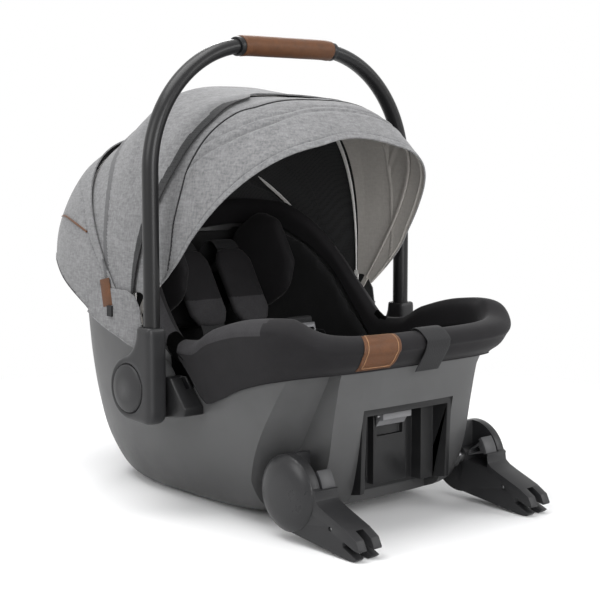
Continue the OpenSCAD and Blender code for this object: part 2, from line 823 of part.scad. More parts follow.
// Buckle's own frame: its middle at the bottom, face towards -Y
buckle_y = -66;
buckle_z = 148;
buckle_lean = 20;
buckle_h = 48;
buckle_d = 18;
module on_buckle() {
    translate([0, buckle_y, buckle_z])
        rotate([-buckle_lean, 0, 0])
            children();
}
function buckle_point(out, up) = [buckle_y + up * sin(buckle_lean) + out * cos(buckle_lean),
    buckle_z + up * cos(buckle_lean) - out * sin(buckle_lean)];

// Webbing from the slot in the head support forward to the pad's top
module shoulder_loop(side) color("dimgray") {
    top = pad_up + pad_l / 2;
    front = head_out + 18;
    line = [back_point(top + 0.6, pad_out), back_point(top + 14, pad_out - 5), back_point(top + 21, pad_out - 18),
        back_point(top + 16, pad_out - 38), back_point(top + 8, front + 0.4)];
    mirrored(side)
        across(strap_x - webbing_w / 2, strap_x + webbing_w / 2)
            polygon(strip(line, webbing_t));
}

// Webbing through the pad and down to the tongue
module shoulder_strap(side) color("dimgray") {
    line = [back_point(pad_up + pad_l / 2 - 1, pad_out), back_point(pad_up - pad_l / 2 - 4, pad_out),
        back_point(-92, pad_out - 4),
        buckle_point(8, buckle_h + 26), buckle_point(0, buckle_h + 17.4)];
    mirrored(side)
        across(strap_x - webbing_w / 2, strap_x + webbing_w / 2)
            polygon(strip(line, webbing_t));
}

function rounded(a, b, power = 4, n = 40) = [for (i = [0:n - 1]) let (t = 360 * i / n)
    [a * sign_pow(cos(t), 2 / power), b * sign_pow(sin(t), 2 / power)]];

button_w = 28;
button_h = 18;
button_d = 6;

module buckle_body() color("black") {
    on_buckle()
        difference() {
            translate([0, buckle_d / 2, buckle_h / 2])
                rotate([90, 0, 0])
                    linear_extrude(buckle_d)
                        polygon(rounded(buckle_w / 2, buckle_h / 2));
            translate([0, -buckle_d / 2 + button_d + buckle_travel, 14])
                rotate([90, 0, 0])
                    linear_extrude(buckle_d)
                        polygon(rounded(button_w / 2 + 0.2, button_h / 2 + 0.2));
            for (x = [-buckle_w / 2 + 2, 2])
                translate([x, -tongue_t / 2 - 0.2, buckle_h - 20])
                    cube([buckle_w / 2 - 4, tongue_t + 0.4, 30]);
            translate([-webbing_w / 2 - fit, -webbing_t / 2 - 0.2, -1])
                cube([webbing_w + 2 * fit, webbing_t + 0.4, 5]);
        }
}

module buckle_button() color("red") {
    on_buckle()
        translate([0, -buckle_d / 2 + button_d - 1, 14])
            rotate([90, 0, 0])
                linear_extrude(button_d)
                    polygon(rounded(button_w / 2, button_h / 2));
}

tongue_t = 3;

// Metal tongue with the slot that the webbing loops through
module tongue(side) color("silver") {
    mirrored(side)
        on_buckle()
            difference() {
                union() {
                    translate([3, -tongue_t / 2, buckle_h - 19])
                        cube([buckle_w / 2 - 6, tongue_t, 24]);
                    translate([3, -tongue_t / 2, buckle_h + 3])
                        cube([strap_x + webbing_w / 2, tongue_t, 14]);
                }
                translate([strap_x - webbing_w / 2 - 1, -tongue_t, buckle_h + 6])
                    cube([webbing_w + 1, 2 * tongue_t, 4]);
            }
}

// Webbing over the hip, from the tongue to the bucket's flank
module lap_strap(side) color("dimgray") {
    line = [[strap_x + webbing_w / 2 + 4, 200], [76, 176], [92, 160], [108, 152]];
    mirrored(side)
        translate([0, -24, 0])
            rotate([90, 0, 0])
                linear_extrude(webbing_w)
                    polygon(strip(line, webbing_t));
}

module crotch_strap() color("dimgray") {
    across(-webbing_w / 2, webbing_w / 2)
        polygon(strip([buckle_point(0, 3), buckle_point(0, -4), [buckle_y - 3, 128],
            [buckle_y - 3, liner_z(buckle_y - 3) + 21.5]], webbing_t));
}

module crotch_pad() color("black") {
    translate([0, buckle_y - 3, 127])
        difference() {
            cushion([56, 16, 34], 4, 20);
            cube([webbing_w + 2 * fit, 6, 60], center = true);
        }
}

// Tail of the harness that runs over the foot end rim, for pulling it tight
module adjuster_strap() color("dimgray") {
    e = edge_z(270);
    line = concat([adjuster_point(-9, 2.3), adjuster_point(-46, 2.3), [-261, e - 18], [-270, e - 20],
        [-275.8, e - 17]], [for (p = [[14, -18.6], [6, -15.5], [0, -10], [-2.6, -4], [-0.6, 5], [8, 15.8],
            [14, 17.6], [24, 17.6], [46, 13.5]]) [plan(270, e - max(p[0], 0), p[1])[1], e - p[0]]]);
    across(2 - webbing_w / 2, 2 + webbing_w / 2)
        polygon(strip(line, webbing_t));
}

adjuster_y = -212;
adjuster_w = 50;
adjuster_lean = 37.7;
adjuster_rise = 0.6;
function adjuster_point(y, z) = [adjuster_y + y * cos(adjuster_lean) + z * sin(adjuster_lean),
    liner_z(adjuster_y) + adjuster_rise - y * sin(adjuster_lean) + z * cos(adjuster_lean)];

// Clamp in the seat front that holds the adjuster strap
module adjuster_body() color("black") {
    translate([2, adjuster_y, liner_z(adjuster_y) + adjuster_rise])
        rotate([-adjuster_lean, 0, 0])
            difference() {
                translate([-adjuster_w / 2, -14, 0])
                    cube([adjuster_w, 34, 12]);
                translate([-webbing_w / 2 - fit, -15, 1.2])
                    cube([webbing_w + 2 * fit, 6.4, 2.2]);
                translate([-adjuster_w / 2 + 5, -8, 4])
                    cube([adjuster_w - 10, 22, 10]);
            }
}

// Button that frees the adjuster strap
module adjuster_button() color("gray") {
    translate([2, adjuster_y, liner_z(adjuster_y) + adjuster_rise])
        rotate([-adjuster_lean, 0, 0])
            translate([-adjuster_w / 2 + 5.3, -7.7, 8.2])
                cube([adjuster_w - 10.6, 21.4, 5]);
}

// Point on the cover's outer face at angle t, share k of the way up it, raised by d
function cover_face(t, k, d) = let (o = cover_section(t), i = k < 1 ? 1 : k < 2 ? 2 : 3, f = k - floor(k))
    let (p = o[i] + (o[i + 1] - o[i]) * f, n = [cos(t) / 2, sin(t), k > 2.2 ? 0.3 : 0]) p + d * n / norm(n);

// Sewn patch on the foot end rim
module rim_label() color("peru") {
    sheet([for (k = [2.7, 2, 1, 0.2]) [for (i = [6:-1:3]) cover_face(270 - 360 * i / rim_stations, k, 1.7)]],
        [for (k = [2.7, 2, 1, 0.2]) [for (i = [6:-1:3]) cover_face(270 - 360 * i / rim_stations, k, 0.5)]]);
}

// Hook at the back of the shell that holds the rear panel's lower edge
module canopy_hook() color("black") {
    edge = rear_r - rear_tuck - canopy_t;
    reach = canopy_y + edge * cos(6) - fit - 0.5;
    difference() {
        translate([-28, reach - 32, canopy_z - edge * sin(6) - 6])
            cube([56, 32, 16]);
        loft([for (z = [140, 178, 225, 262]) ring(z, fit)]);
    }
}

outer_shell();
inner_bucket();
front_panel();
release_lever();
lever_rivet();
axle_stub(left);  // axle_stub_left
axle_stub(right);  // axle_stub_right
handle_tube();
handle_grip();
belt_guide(left);  // belt_guide_left
belt_guide(right);  // belt_guide_right
handle_mount(left);  // handle_mount_left
handle_mount(right);  // handle_mount_right
isofix_arm(left);  // isofix_arm_left
isofix_arm(right);  // isofix_arm_right
isofix_cover(left);  // isofix_cover_left
isofix_cover(right);  // isofix_cover_right
isofix_release(left);  // isofix_release_left
isofix_release(right);  // isofix_release_right
isofix_latch(left);  // isofix_latch_left
isofix_latch(right);  // isofix_latch_right
grip_end(left);  // grip_end_left
grip_end(right);  // grip_end_right
handle_arm(left);  // handle_arm_left
handle_arm(right);  // handle_arm_right
handle_button(left);  // handle_button_left
handle_button(right);  // handle_button_right
canopy_front_bow();
canopy_visor();
canopy_middle_bow();
canopy_middle_panel();
canopy_rear_bow();
canopy_rear_panel();
canopy_tag();
rim_cover();
seat_liner();
seat_insert();
head_support();
crotch_strap();
crotch_pad();
buckle_body();
buckle_button();
adjuster_strap();
adjuster_body();
adjuster_button();
rim_label();
canopy_clip(left);  // canopy_clip_left
canopy_clip(right);  // canopy_clip_right
shoulder_pad(left);  // shoulder_pad_left
shoulder_pad(right);  // shoulder_pad_right
shoulder_strap(left);  // shoulder_strap_left
shoulder_strap(right);  // shoulder_strap_right
tongue(left);  // tongue_left
tongue(right);  // tongue_right
lap_strap(left);  // lap_strap_left
lap_strap(right);  // lap_strap_right
shoulder_loop(left);  // shoulder_loop_left
shoulder_loop(right);  // shoulder_loop_right
canopy_hook();
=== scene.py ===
"""Infant car seat: the looks of the shell, handle, anchor arms, canopy, cover and harness,
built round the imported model. Tables are in millimetres, meshes in metres."""

import math

import bmesh
import bpy
from bpy.props import FloatProperty, FloatVectorProperty, PointerProperty
from mathutils import Euler, Matrix, Vector


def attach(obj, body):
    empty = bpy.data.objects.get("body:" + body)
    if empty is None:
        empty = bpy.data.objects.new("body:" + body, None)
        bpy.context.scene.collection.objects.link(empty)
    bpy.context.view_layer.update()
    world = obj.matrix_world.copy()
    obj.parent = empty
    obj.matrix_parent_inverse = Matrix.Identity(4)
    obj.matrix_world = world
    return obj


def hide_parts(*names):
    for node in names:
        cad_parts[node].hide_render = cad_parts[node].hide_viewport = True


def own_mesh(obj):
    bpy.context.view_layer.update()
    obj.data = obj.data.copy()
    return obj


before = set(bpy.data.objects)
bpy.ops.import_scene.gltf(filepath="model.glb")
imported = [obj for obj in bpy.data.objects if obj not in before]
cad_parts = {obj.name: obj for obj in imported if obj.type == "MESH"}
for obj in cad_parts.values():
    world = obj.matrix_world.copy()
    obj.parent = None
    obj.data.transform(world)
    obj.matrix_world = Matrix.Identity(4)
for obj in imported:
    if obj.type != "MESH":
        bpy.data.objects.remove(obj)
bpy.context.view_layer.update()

bl_info = {
    "name": "Infant Car Seat",
    "version": (1, 0, 0),
    "blender": (4, 5, 0),
    "location": "View3D > Sidebar > Car Seat",
    "description": "Builds the cloth, shell, handle and fittings of an infant car seat",
    "category": "Add Mesh",
}

MM = 0.001
# Size of the plastics' grain, and frames that the cloth settles for
GRAIN = 0.7
CLOTH_FRAMES = 20

# Shell outline: share of the half width, ends and middle of its level sections
SHELL_HALF_W = 172
WIDTH_SHARE = [(0, 0.60), (5, 0.68), (15, 0.76), (34, 0.83), (66, 0.9), (100, 0.94), (140, 0.965),
               (178, 0.98), (225, 1), (262, 0.985), (300, 0.94), (345, 0.87), (400, 0.8)]
FRONT_END = [(0, -70), (5, -150), (15, -200), (34, -252), (66, -262), (140, -275), (178, -283),
             (225, -300), (400, -300)]
REAR_END = [(0, 135), (5, 165), (15, 188), (34, 208), (66, 228), (100, 240), (140, 249), (178, 255),
            (225, 257), (300, 248), (345, 226), (400, 200)]
MIDDLE = [(0, 0), (5, -20), (15, -60), (34, -100), (66, -130), (100, -150), (400, -150)]
RIM_FRONT_Z = 215
COVER_EDGE = [(-320, 10), (-285, 17), (-250, 34), (-200, 30), (-130, 13), (-95, -4), (-66, -6),
              (-14, 38), (23, 85), (60, 122), (109, 144), (165, 147), (215, 138), (270, 120)]
CORE_HALF_W = 112
RECESS_HALF_W = 73
RECESS_TOP = 141
FACE_Y = -228
# Height past the rim where the shell's tables end, and places safely below the floor and past the foot end
TOP_Z = 400
BELOW = -20
FOOT_END = -340

# Axle of the anchor arms, and the pivot of the canopy's bows
AXLE_Y = -240
AXLE_Z = 55
PIVOT_Y = 10
PIVOT_Z = 225


# ---- sizes and colours of the panel ----


def length(name, description, default):
    """Length in the panel, given here in millimetres and kept in metres."""
    return FloatProperty(name=name, description=description, default=default * MM, min=0.1 * MM, precision=4,
                         unit="LENGTH")


def swatch(name, description, default):
    """Colour in the panel, as a share of red, green and blue light."""
    return FloatVectorProperty(name=name, description=description, default=default, min=0, max=1, subtype="COLOR")


class CarSeatSizes(bpy.types.PropertyGroup):
    """Thicknesses and widths that can change without moving a joint or a seat of another piece."""

    wall: length("Shell wall", "Thickness of the moulded shell", 4)
    cover_roll: length("Cover roll", "How far the rim's cover reaches down inside the shell", 11)
    seam_depth: length("Cover seam", "Depth of the seam along the rim's cover", 1.3)
    webbing_width: length("Webbing width", "Width of the harness straps", 38)
    webbing_thickness: length("Webbing thickness", "Thickness of the harness straps", 1.6)
    panel_thickness: length("Canopy cloth", "Thickness of the canopy's panels with their lining", 1.8)
    casing_width: length("Bow casing", "Width of the sewn casing round each bow", 8)
    zip_radius: length("Zip", "Radius of the zip on the visor", 1.25)
    piping_radius: length("Piping", "Radius of the leather piping on the rear panel", 1.3)
    patch_thickness: length("Leather label", "Thickness of the leather label on the rim", 1.2)
    stitch_radius: length("Stitching", "Radius of the thread round the leather label", 0.5)
    floor_half: length("Floor", "Half the width of the floor", 12000)
    lens: FloatProperty(name="Lens", description="Focal length of the camera", default=84, min=20, unit="CAMERA")


class CarSeatColours(bpy.types.PropertyGroup):
    """Colours of the plastics, metals, leather and cloth."""

    shell: swatch("Shell", "Moulded shell", (0.067, 0.0672, 0.068))
    hub: swatch("Handle hubs", "Plastic arms and buttons of the handle", (0.018, 0.018, 0.019))
    arm: swatch("Anchor arms", "Plastic of the anchor arms", (0.015, 0.015, 0.016))
    cover: swatch("Arm covers", "Round covers on the hubs of the anchor arms", (0.017, 0.017, 0.018))
    trim: swatch("Levers", "Unlock levers and the adjuster's button", (0.05, 0.05, 0.052))
    lever: swatch("Release lever", "Pull lever in the foot end recess", (0.17, 0.17, 0.175))
    black: swatch("Black plastic", "Clips, guides, buckle and other fittings", (0.009, 0.009, 0.0095))
    red: swatch("Buckle button", "Red button of the buckle", (0.3, 0.015, 0.012))
    steel: swatch("Steel", "Axles, rivet and latches", (0.5, 0.5, 0.51))
    tongue: swatch("Tongues", "Darkened steel of the buckle's tongues", (0.11, 0.11, 0.115))
    tube: swatch("Handle tube", "Powder coat of the carry handle", (0.008, 0.008, 0.0085))
    leather: swatch("Leather", "Grip, label, tag and piping", (0.105, 0.042, 0.0165))
    melange: swatch("Canopy, light yarn", "Light yarn of the canopy's cloth", (0.235, 0.235, 0.238))
    melange_dark: swatch("Canopy, dark yarn", "Dark yarn of the canopy's cloth", (0.085, 0.085, 0.088))
    band: swatch("Hoop band, light yarn", "Band over the rear bow", (0.085, 0.085, 0.088))
    band_dark: swatch("Hoop band, dark yarn", "Band over the rear bow", (0.06, 0.06, 0.062))
    lining: swatch("Lining, light yarn", "Inside of the visor", (0.56, 0.535, 0.5))
    lining_dark: swatch("Lining, dark yarn", "Inside of the visor", (0.44, 0.415, 0.385))
    tape: swatch("Casing tape, light yarn", "Casings of the inner bows", (0.8, 0.79, 0.77))
    tape_dark: swatch("Casing tape, dark yarn", "Casings of the inner bows", (0.62, 0.61, 0.59))
    binding: swatch("Binding", "Zip and the binding of the rear edge", (0.016, 0.016, 0.017))
    mesh: swatch("Mesh", "Ventilation mesh of the canopy", (0.026, 0.026, 0.027))
    jersey: swatch("Jersey", "Cover of the rim and the cushions", (0.0068, 0.0062, 0.0072))
    liner: swatch("Liner", "Padded liner of the seat", (0.009, 0.009, 0.0095))
    insert: swatch("Panels", "Lighter panels on the rim and the shoulder pads", (0.028, 0.027, 0.029))
    # Painted shade: near black, for the sheets and cover faces put where shade falls beside the handle's hubs
    gap: swatch("Painted shade", "Dark pockets beside the handle", (0.0006, 0.0006, 0.0006))
    thread: swatch("Thread", "Stitching of the leather label", (0.3, 0.17, 0.09))
    webbing: swatch("Webbing", "Straps of the harness", (0.01, 0.01, 0.011))


def size(key):
    """Length from the panel in millimetres, rid of single precision noise."""
    return round(getattr(bpy.context.scene.car_seat_sizes, key) / MM, 4)


# ---- curves and sections ----


def lookup(x, pairs):
    """Straight line between the pairs, level past the ends."""
    if x <= pairs[0][0]:
        return pairs[0][1]
    for (x0, y0), (x1, y1) in zip(pairs, pairs[1:]):
        if x <= x1:
            return y0 + (y1 - y0) * (x - x0) / (x1 - x0)
    return pairs[-1][1]


def curve(x, pairs):
    """Smooth line through the pairs that never overshoots them."""
    if x <= pairs[0][0]:
        return pairs[0][1]
    if x >= pairs[-1][0]:
        return pairs[-1][1]
    slopes = [(b[1] - a[1]) / (b[0] - a[0]) for a, b in zip(pairs, pairs[1:])]
    ends = [slopes[0]] + [0 if a * b <= 0 else 2 * a * b / (a + b) for a, b in zip(slopes, slopes[1:])] + [slopes[-1]]
    for i, ((x0, y0), (x1, y1)) in enumerate(zip(pairs, pairs[1:])):
        if x <= x1:
            h = x1 - x0
            s = (x - x0) / h
            return ((1 + 2 * s) * (1 - s) ** 2 * y0 + s * (1 - s) ** 2 * h * ends[i]
                    + s * s * (3 - 2 * s) * y1 + s * s * (s - 1) * h * ends[i + 1])


def power(v, p):
    """Power of the size of v, with the sign of v."""
    return math.copysign(abs(v) ** p, v)


def plan(t, z, g):
    """Level section of the shell, moved out by g, at angle t in degrees and height z."""
    c, s = math.cos(math.radians(t)), math.sin(math.radians(t))
    n = 4 if s < 0 else 3.2
    k = (abs(c) ** n + abs(s) ** n) ** (-1 / n)
    m = curve(z, MIDDLE)
    reach = m - curve(z, FRONT_END) + g if s < 0 else curve(z, REAR_END) + g - m
    return Vector(((curve(z, WIDTH_SHARE) * SHELL_HALF_W + g) * c * k, m + reach * s * k, z))


def cover_z(y):
    """Height of the cover's top edge at y."""
    return RIM_FRONT_Z + curve(y, COVER_EDGE)


def edge_z(t):
    """Height of the cover's top edge at angle t round the rim."""
    z = 225
    for _ in range(4):
        z = cover_z(plan(t, z, 0)[1])
    return z


# ---- meshes ----


def surface(place, nu, nv):
    """Grid laid over place(u, v), u and v from 0 to 1, in millimetres, with a flat UV map."""
    bm = bmesh.new()
    bmesh.ops.create_grid(bm, x_segments=nu, y_segments=nv, size=1)
    reach = max(v.co.x for v in bm.verts)
    flat = bm.loops.layers.uv.new("flat")
    for face in bm.faces:
        for loop in face.loops:
            loop[flat].uv = (0.5 + loop.vert.co.x / reach / 2, 0.5 + loop.vert.co.y / reach / 2)
    for v in bm.verts:
        v.co = Vector(place(0.5 + v.co.x / reach / 2, 0.5 + v.co.y / reach / 2)) * MM
    bmesh.ops.remove_doubles(bm, verts=bm.verts, dist=2e-6)
    bmesh.ops.recalc_face_normals(bm, faces=bm.faces)
    return bm


def prism(outline, x0, x1):
    """Side view outline (y, z) given a thickness across the seat, in millimetres."""
    bm = bmesh.new()
    face = bm.faces.new([bm.verts.new((x0 * MM, y * MM, z * MM)) for y, z in outline])
    out = bmesh.ops.extrude_face_region(bm, geom=[face])
    moved = [v for v in out["geom"] if isinstance(v, bmesh.types.BMVert)]
    bmesh.ops.translate(bm, verts=moved, vec=((x1 - x0) * MM, 0, 0))
    bmesh.ops.recalc_face_normals(bm, faces=bm.faces)
    return bm


def rod(p, q, r, segments=32):
    """Round bar from p to q, in millimetres."""
    p, q = Vector(p) * MM, Vector(q) * MM
    turn = (q - p).to_track_quat("Z", "Y").to_matrix().to_4x4()
    bm = bmesh.new()
    bmesh.ops.create_cone(bm, cap_ends=True, segments=segments, radius1=r * MM, radius2=r * MM,
                          depth=(q - p).length, matrix=Matrix.Translation((p + q) / 2) @ turn)
    return bm


def tube(points, r, segments=10, closed=False):
    """Cord swept along points in millimetres."""
    data = bpy.data.curves.new("path", "CURVE")
    data.dimensions = "3D"
    data.bevel_depth = r * MM
    data.bevel_resolution = max(segments // 4, 1)
    data.use_fill_caps = True
    spline = data.splines.new("POLY")
    spline.points.add(len(points) - 1)
    for s, p in zip(spline.points, points):
        s.co = (*(Vector(p) * MM), 1)
    spline.use_cyclic_u = closed
    obj = bpy.data.objects.new("path", data)
    bpy.context.collection.objects.link(obj)
    bm = bmesh.new()
    bm.from_mesh(bpy.data.meshes.new_from_object(obj.evaluated_get(bpy.context.evaluated_depsgraph_get())))
    bpy.data.objects.remove(obj)
    bmesh.ops.remove_doubles(bm, verts=bm.verts, dist=1e-6)
    bmesh.ops.recalc_face_normals(bm, faces=bm.faces)
    return bm


def join(*parts):
    """One bmesh out of several."""
    whole = bmesh.new()
    for bm in parts:
        mesh = bpy.data.meshes.new("part")
        bm.to_mesh(mesh)
        whole.from_mesh(mesh)
        bpy.data.meshes.remove(mesh)
        bm.free()
    return whole


def rounded(bm, width):
    """Edges sharper than 30 degrees given a small radius."""
    bmesh.ops.dissolve_limit(bm, angle_limit=math.radians(1), verts=bm.verts, edges=bm.edges)
    sharp = [e for e in bm.edges if len(e.link_faces) == 2 and e.calc_face_angle(0) > math.radians(30)]
    bmesh.ops.bevel(bm, geom=sharp, offset=width * MM, offset_type="OFFSET", segments=2, affect="EDGES",
                    profile=0.5, material=-1, clamp_overlap=True)
    return bm


def node_copy(node):
    """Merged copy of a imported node's mesh."""
    bm = bmesh.new()
    bm.from_mesh(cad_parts[node].data)
    bmesh.ops.remove_doubles(bm, verts=bm.verts, dist=1e-6)
    bmesh.ops.recalc_face_normals(bm, faces=bm.faces)
    return bm


def new_object(bm, name):
    """Object at the origin with a bmesh as its mesh."""
    mesh = bpy.data.meshes.new(name)
    bm.to_mesh(mesh)
    bm.free()
    obj = bpy.data.objects.new(name, mesh)
    bpy.context.collection.objects.link(obj)
    return obj


def settle(obj):
    """Modifiers of obj made part of its mesh."""
    bpy.context.view_layer.update()
    mesh = bpy.data.meshes.new_from_object(obj.evaluated_get(bpy.context.evaluated_depsgraph_get()))
    obj.modifiers.clear()
    obj.data = mesh
    return obj


def cut(obj, bm):
    """Takes a closed bmesh out of obj."""
    tool = new_object(bm, "cutter")
    m = obj.modifiers.new("cut", "BOOLEAN")
    m.operation = "DIFFERENCE"
    m.solver = "EXACT"
    m.object = tool
    settle(obj)
    bpy.data.objects.remove(tool)
    return obj


def finish(obj, body, paint, replaced=(), sharp=38):
    """Gives a piece its smooth shading, material and body."""
    mesh = obj.data
    mesh.polygons.foreach_set("use_smooth", [True] * len(mesh.polygons))
    if sharp:
        mesh.set_sharp_from_angle(angle=math.radians(sharp))
    mesh.materials.clear()
    for m in paint if isinstance(paint, (list, tuple)) else [paint]:
        mesh.materials.append(m)
    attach(obj, body)
    if replaced:
        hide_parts(*replaced)
    return obj


def solidify(obj, thickness, offset=-1.0):
    """Sheet given its thickness, in millimetres."""
    solid = obj.modifiers.new("thick", "SOLIDIFY")
    solid.thickness = thickness * MM
    solid.offset = offset
    return settle(obj)


def relaxed(obj, voxel, times):
    """Even mesh over a solid, its edges softened."""
    remesh = obj.modifiers.new("remesh", "REMESH")
    remesh.mode = "VOXEL"
    remesh.voxel_size = voxel * MM
    settle(obj)
    relax = obj.modifiers.new("relax", "SMOOTH")
    relax.factor = 0.5
    relax.iterations = times
    return settle(obj)


def stuffed(obj, voxel, times, pressure, cap):
    """Cloth skin over a soft solid: blown up a little by pressure, and held within cap of its own shape."""
    relaxed(obj, voxel, times)
    rest = [v.co.copy() for v in obj.data.vertices]
    if pressure:
        cloth = obj.modifiers.new("cloth", "CLOTH")
        cloth.settings.use_pressure = True
        cloth.settings.uniform_pressure_force = pressure
        cloth.settings.effector_weights.gravity = 0
        cloth.settings.tension_stiffness = 20
        cloth.settings.compression_stiffness = 20
        cloth.settings.bending_stiffness = 2
        cloth.point_cache.frame_start = 1
        cloth.point_cache.frame_end = CLOTH_FRAMES
        scene = bpy.context.scene
        for f in range(1, CLOTH_FRAMES + 1):
            scene.frame_set(f)
        settle(obj)
        scene.frame_set(1)
        for v, p in zip(obj.data.vertices, rest):
            d = v.co - p
            if d.length > cap * MM:
                v.co = p + d * (cap * MM / d.length)
    elif pressure:
        for v in obj.data.vertices:
            v.co += v.normal * (0.4 * cap * MM)
    fine = obj.modifiers.new("fine", "SUBSURF")
    fine.levels = fine.render_levels = 1
    return settle(obj)


# ---- materials ----


def add(tree, kind, inputs=None, **facts):
    """Adds a node, with each input given a value or another node's socket."""
    n = tree.nodes.new(kind)
    for k, v in facts.items():
        setattr(n, k, v)
    for k, v in (inputs or {}).items():
        if isinstance(v, bpy.types.NodeSocket):
            tree.links.new(v, n.inputs[k])
        else:
            n.inputs[k].default_value = v
    return n


def blend_colours(tree, factor, a, b):
    """Mix of two colours, each a value or a node's socket."""
    n = add(tree, "ShaderNodeMix", data_type="RGBA")
    for i, v in ((0, factor), (6, a), (7, b)):
        if isinstance(v, bpy.types.NodeSocket):
            tree.links.new(v, n.inputs[i])
        else:
            n.inputs[i].default_value = v if i == 0 else (*v[:3], 1)
    return n.outputs[2]


def spread(tree, value, low, high, to_low=0.0, to_high=1.0):
    """Range from low to high stretched onto another, and held at its ends."""
    return add(tree, "ShaderNodeMapRange", {"Value": value, "From Min": low, "From Max": high, "To Min": to_low,
                                            "To Max": to_high}).outputs[0]


def math_node(tree, operation, *values):
    """Sum, product or the like of values and sockets."""
    return add(tree, "ShaderNodeMath", dict(enumerate(values)), operation=operation).outputs[0]


def weighted(tree, a, share_a, b, share_b):
    """Sum of two sockets, each by its share."""
    return math_node(tree, "ADD", math_node(tree, "MULTIPLY", a, share_a), math_node(tree, "MULTIPLY", b, share_b))


def blank(name, rough, **sockets):
    """Material with its shader, and the place on the piece that its pattern reads."""
    m = bpy.data.materials.new(name)
    m.use_nodes = True
    tree = m.node_tree
    skin = tree.nodes["Principled BSDF"]
    skin.inputs["Roughness"].default_value = rough
    for k, v in sockets.items():
        skin.inputs[k.replace("_", " ")].default_value = v
    where = add(tree, "ShaderNodeTexCoord").outputs["Object"]
    return m, tree, skin, where


def bump(tree, skin, height, strength, distance, under=None):
    """Relief of the surface, its distance in millimetres, over another relief if one is given."""
    inputs = {"Height": height, "Strength": strength, "Distance": distance * MM}
    if under:
        inputs["Normal"] = under
    n = add(tree, "ShaderNodeBump", inputs).outputs[0]
    tree.links.new(n, skin.inputs["Normal"])
    return n


def scaled(c, k):
    """Colour made darker, or brighter where k is above 1."""
    return tuple(v * k for v in c[:3])


def plastic(name, colour, rough, shade=None):
    """Moulded plastic: spark-eroded grain, faint flow marks and handling polish; where shade is given, painted shade
    darkens its colour towards the floor.
    """
    m, tree, skin, where = blank(name, rough, Specular_IOR_Level=0.3)
    fine = add(tree, "ShaderNodeTexNoise", {"Vector": where, "Scale": 1000 / GRAIN, "Detail": 2}).outputs[0]
    broad = add(tree, "ShaderNodeTexNoise", {"Vector": where, "Scale": 22, "Detail": 5, "Roughness": 0.6}).outputs[0]
    skin_colour = blend_colours(tree, spread(tree, broad, 0.3, 0.75), scaled(colour, 0.9), scaled(colour, 1.1))
    # Painted shade: the colour is darkened from the height high down to low, to the share least of it, where the
    # floor's shade falls
    if shade:
        low, high, least = shade
        up = add(tree, "ShaderNodeSeparateXYZ", {0: where}).outputs["Z"]
        skin_colour = blend_colours(tree, spread(tree, up, low, high), scaled(colour, least), skin_colour)
    tree.links.new(skin_colour, skin.inputs["Base Color"])
    tree.links.new(spread(tree, broad, 0.3, 0.7, rough - 0.06, rough + 0.06), skin.inputs["Roughness"])
    bump(tree, skin, fine, 0.25, 0.12)
    return m


def metal(name, colour, rough):
    """Brushed steel."""
    m, tree, skin, where = blank(name, rough, Metallic=1.0)
    along = add(tree, "ShaderNodeMapping", {"Vector": where, "Scale": (40, 900, 900)}).outputs[0]
    lines = add(tree, "ShaderNodeTexNoise", {"Vector": along, "Scale": 1, "Detail": 3}).outputs[0]
    tree.links.new(blend_colours(tree, lines, scaled(colour, 0.8), scaled(colour, 1.1)), skin.inputs["Base Color"])
    tree.links.new(spread(tree, lines, 0.3, 0.7, rough - 0.08, rough + 0.1), skin.inputs["Roughness"])
    bump(tree, skin, lines, 0.15, 0.05)
    return m


def paint(name, colour):
    """Powder coat: fine orange peel under a soft gloss."""
    m, tree, skin, where = blank(name, 0.34, Coat_Weight=0.1, Coat_Roughness=0.25, Specular_IOR_Level=0.25)
    peel = add(tree, "ShaderNodeTexNoise", {"Vector": where, "Scale": 750, "Detail": 2}).outputs[0]
    broad = add(tree, "ShaderNodeTexNoise", {"Vector": where, "Scale": 14, "Detail": 4}).outputs[0]
    tree.links.new(blend_colours(tree, broad, scaled(colour, 0.85), scaled(colour, 1.15)), skin.inputs["Base Color"])
    bump(tree, skin, peel, 0.2, 0.08)
    return m


def melange(name, light, dark):
    """Woven cloth of light and dark yarns: flecks along both threads, a fine plain weave and soft nap."""
    m, tree, skin, where = blank(name, 0.9, Sheen_Weight=0.15, Sheen_Roughness=0.5)
    yarn = None
    for stretch in ((90, 90, 420), (420, 420, 110)):
        run = add(tree, "ShaderNodeMapping", {"Vector": where, "Scale": stretch}).outputs[0]
        looks = {"Vector": run, "Scale": 1, "Detail": 3, "Roughness": 0.65}
        fleck = spread(tree, add(tree, "ShaderNodeTexNoise", looks).outputs[0], 0.36, 0.64)
        yarn = fleck if yarn is None else weighted(tree, yarn, 0.5, fleck, 0.5)
    cloud = add(tree, "ShaderNodeTexNoise", {"Vector": where, "Scale": 28, "Detail": 4}).outputs[0]
    shade = weighted(tree, yarn, 0.75, cloud, 0.25)
    tree.links.new(blend_colours(tree, shade, dark, light), skin.inputs["Base Color"])
    threads = add(tree, "ShaderNodeTexVoronoi", {"Vector": where, "Scale": 900}).outputs[0]
    bump(tree, skin, threads, 0.35, 0.25)
    return m


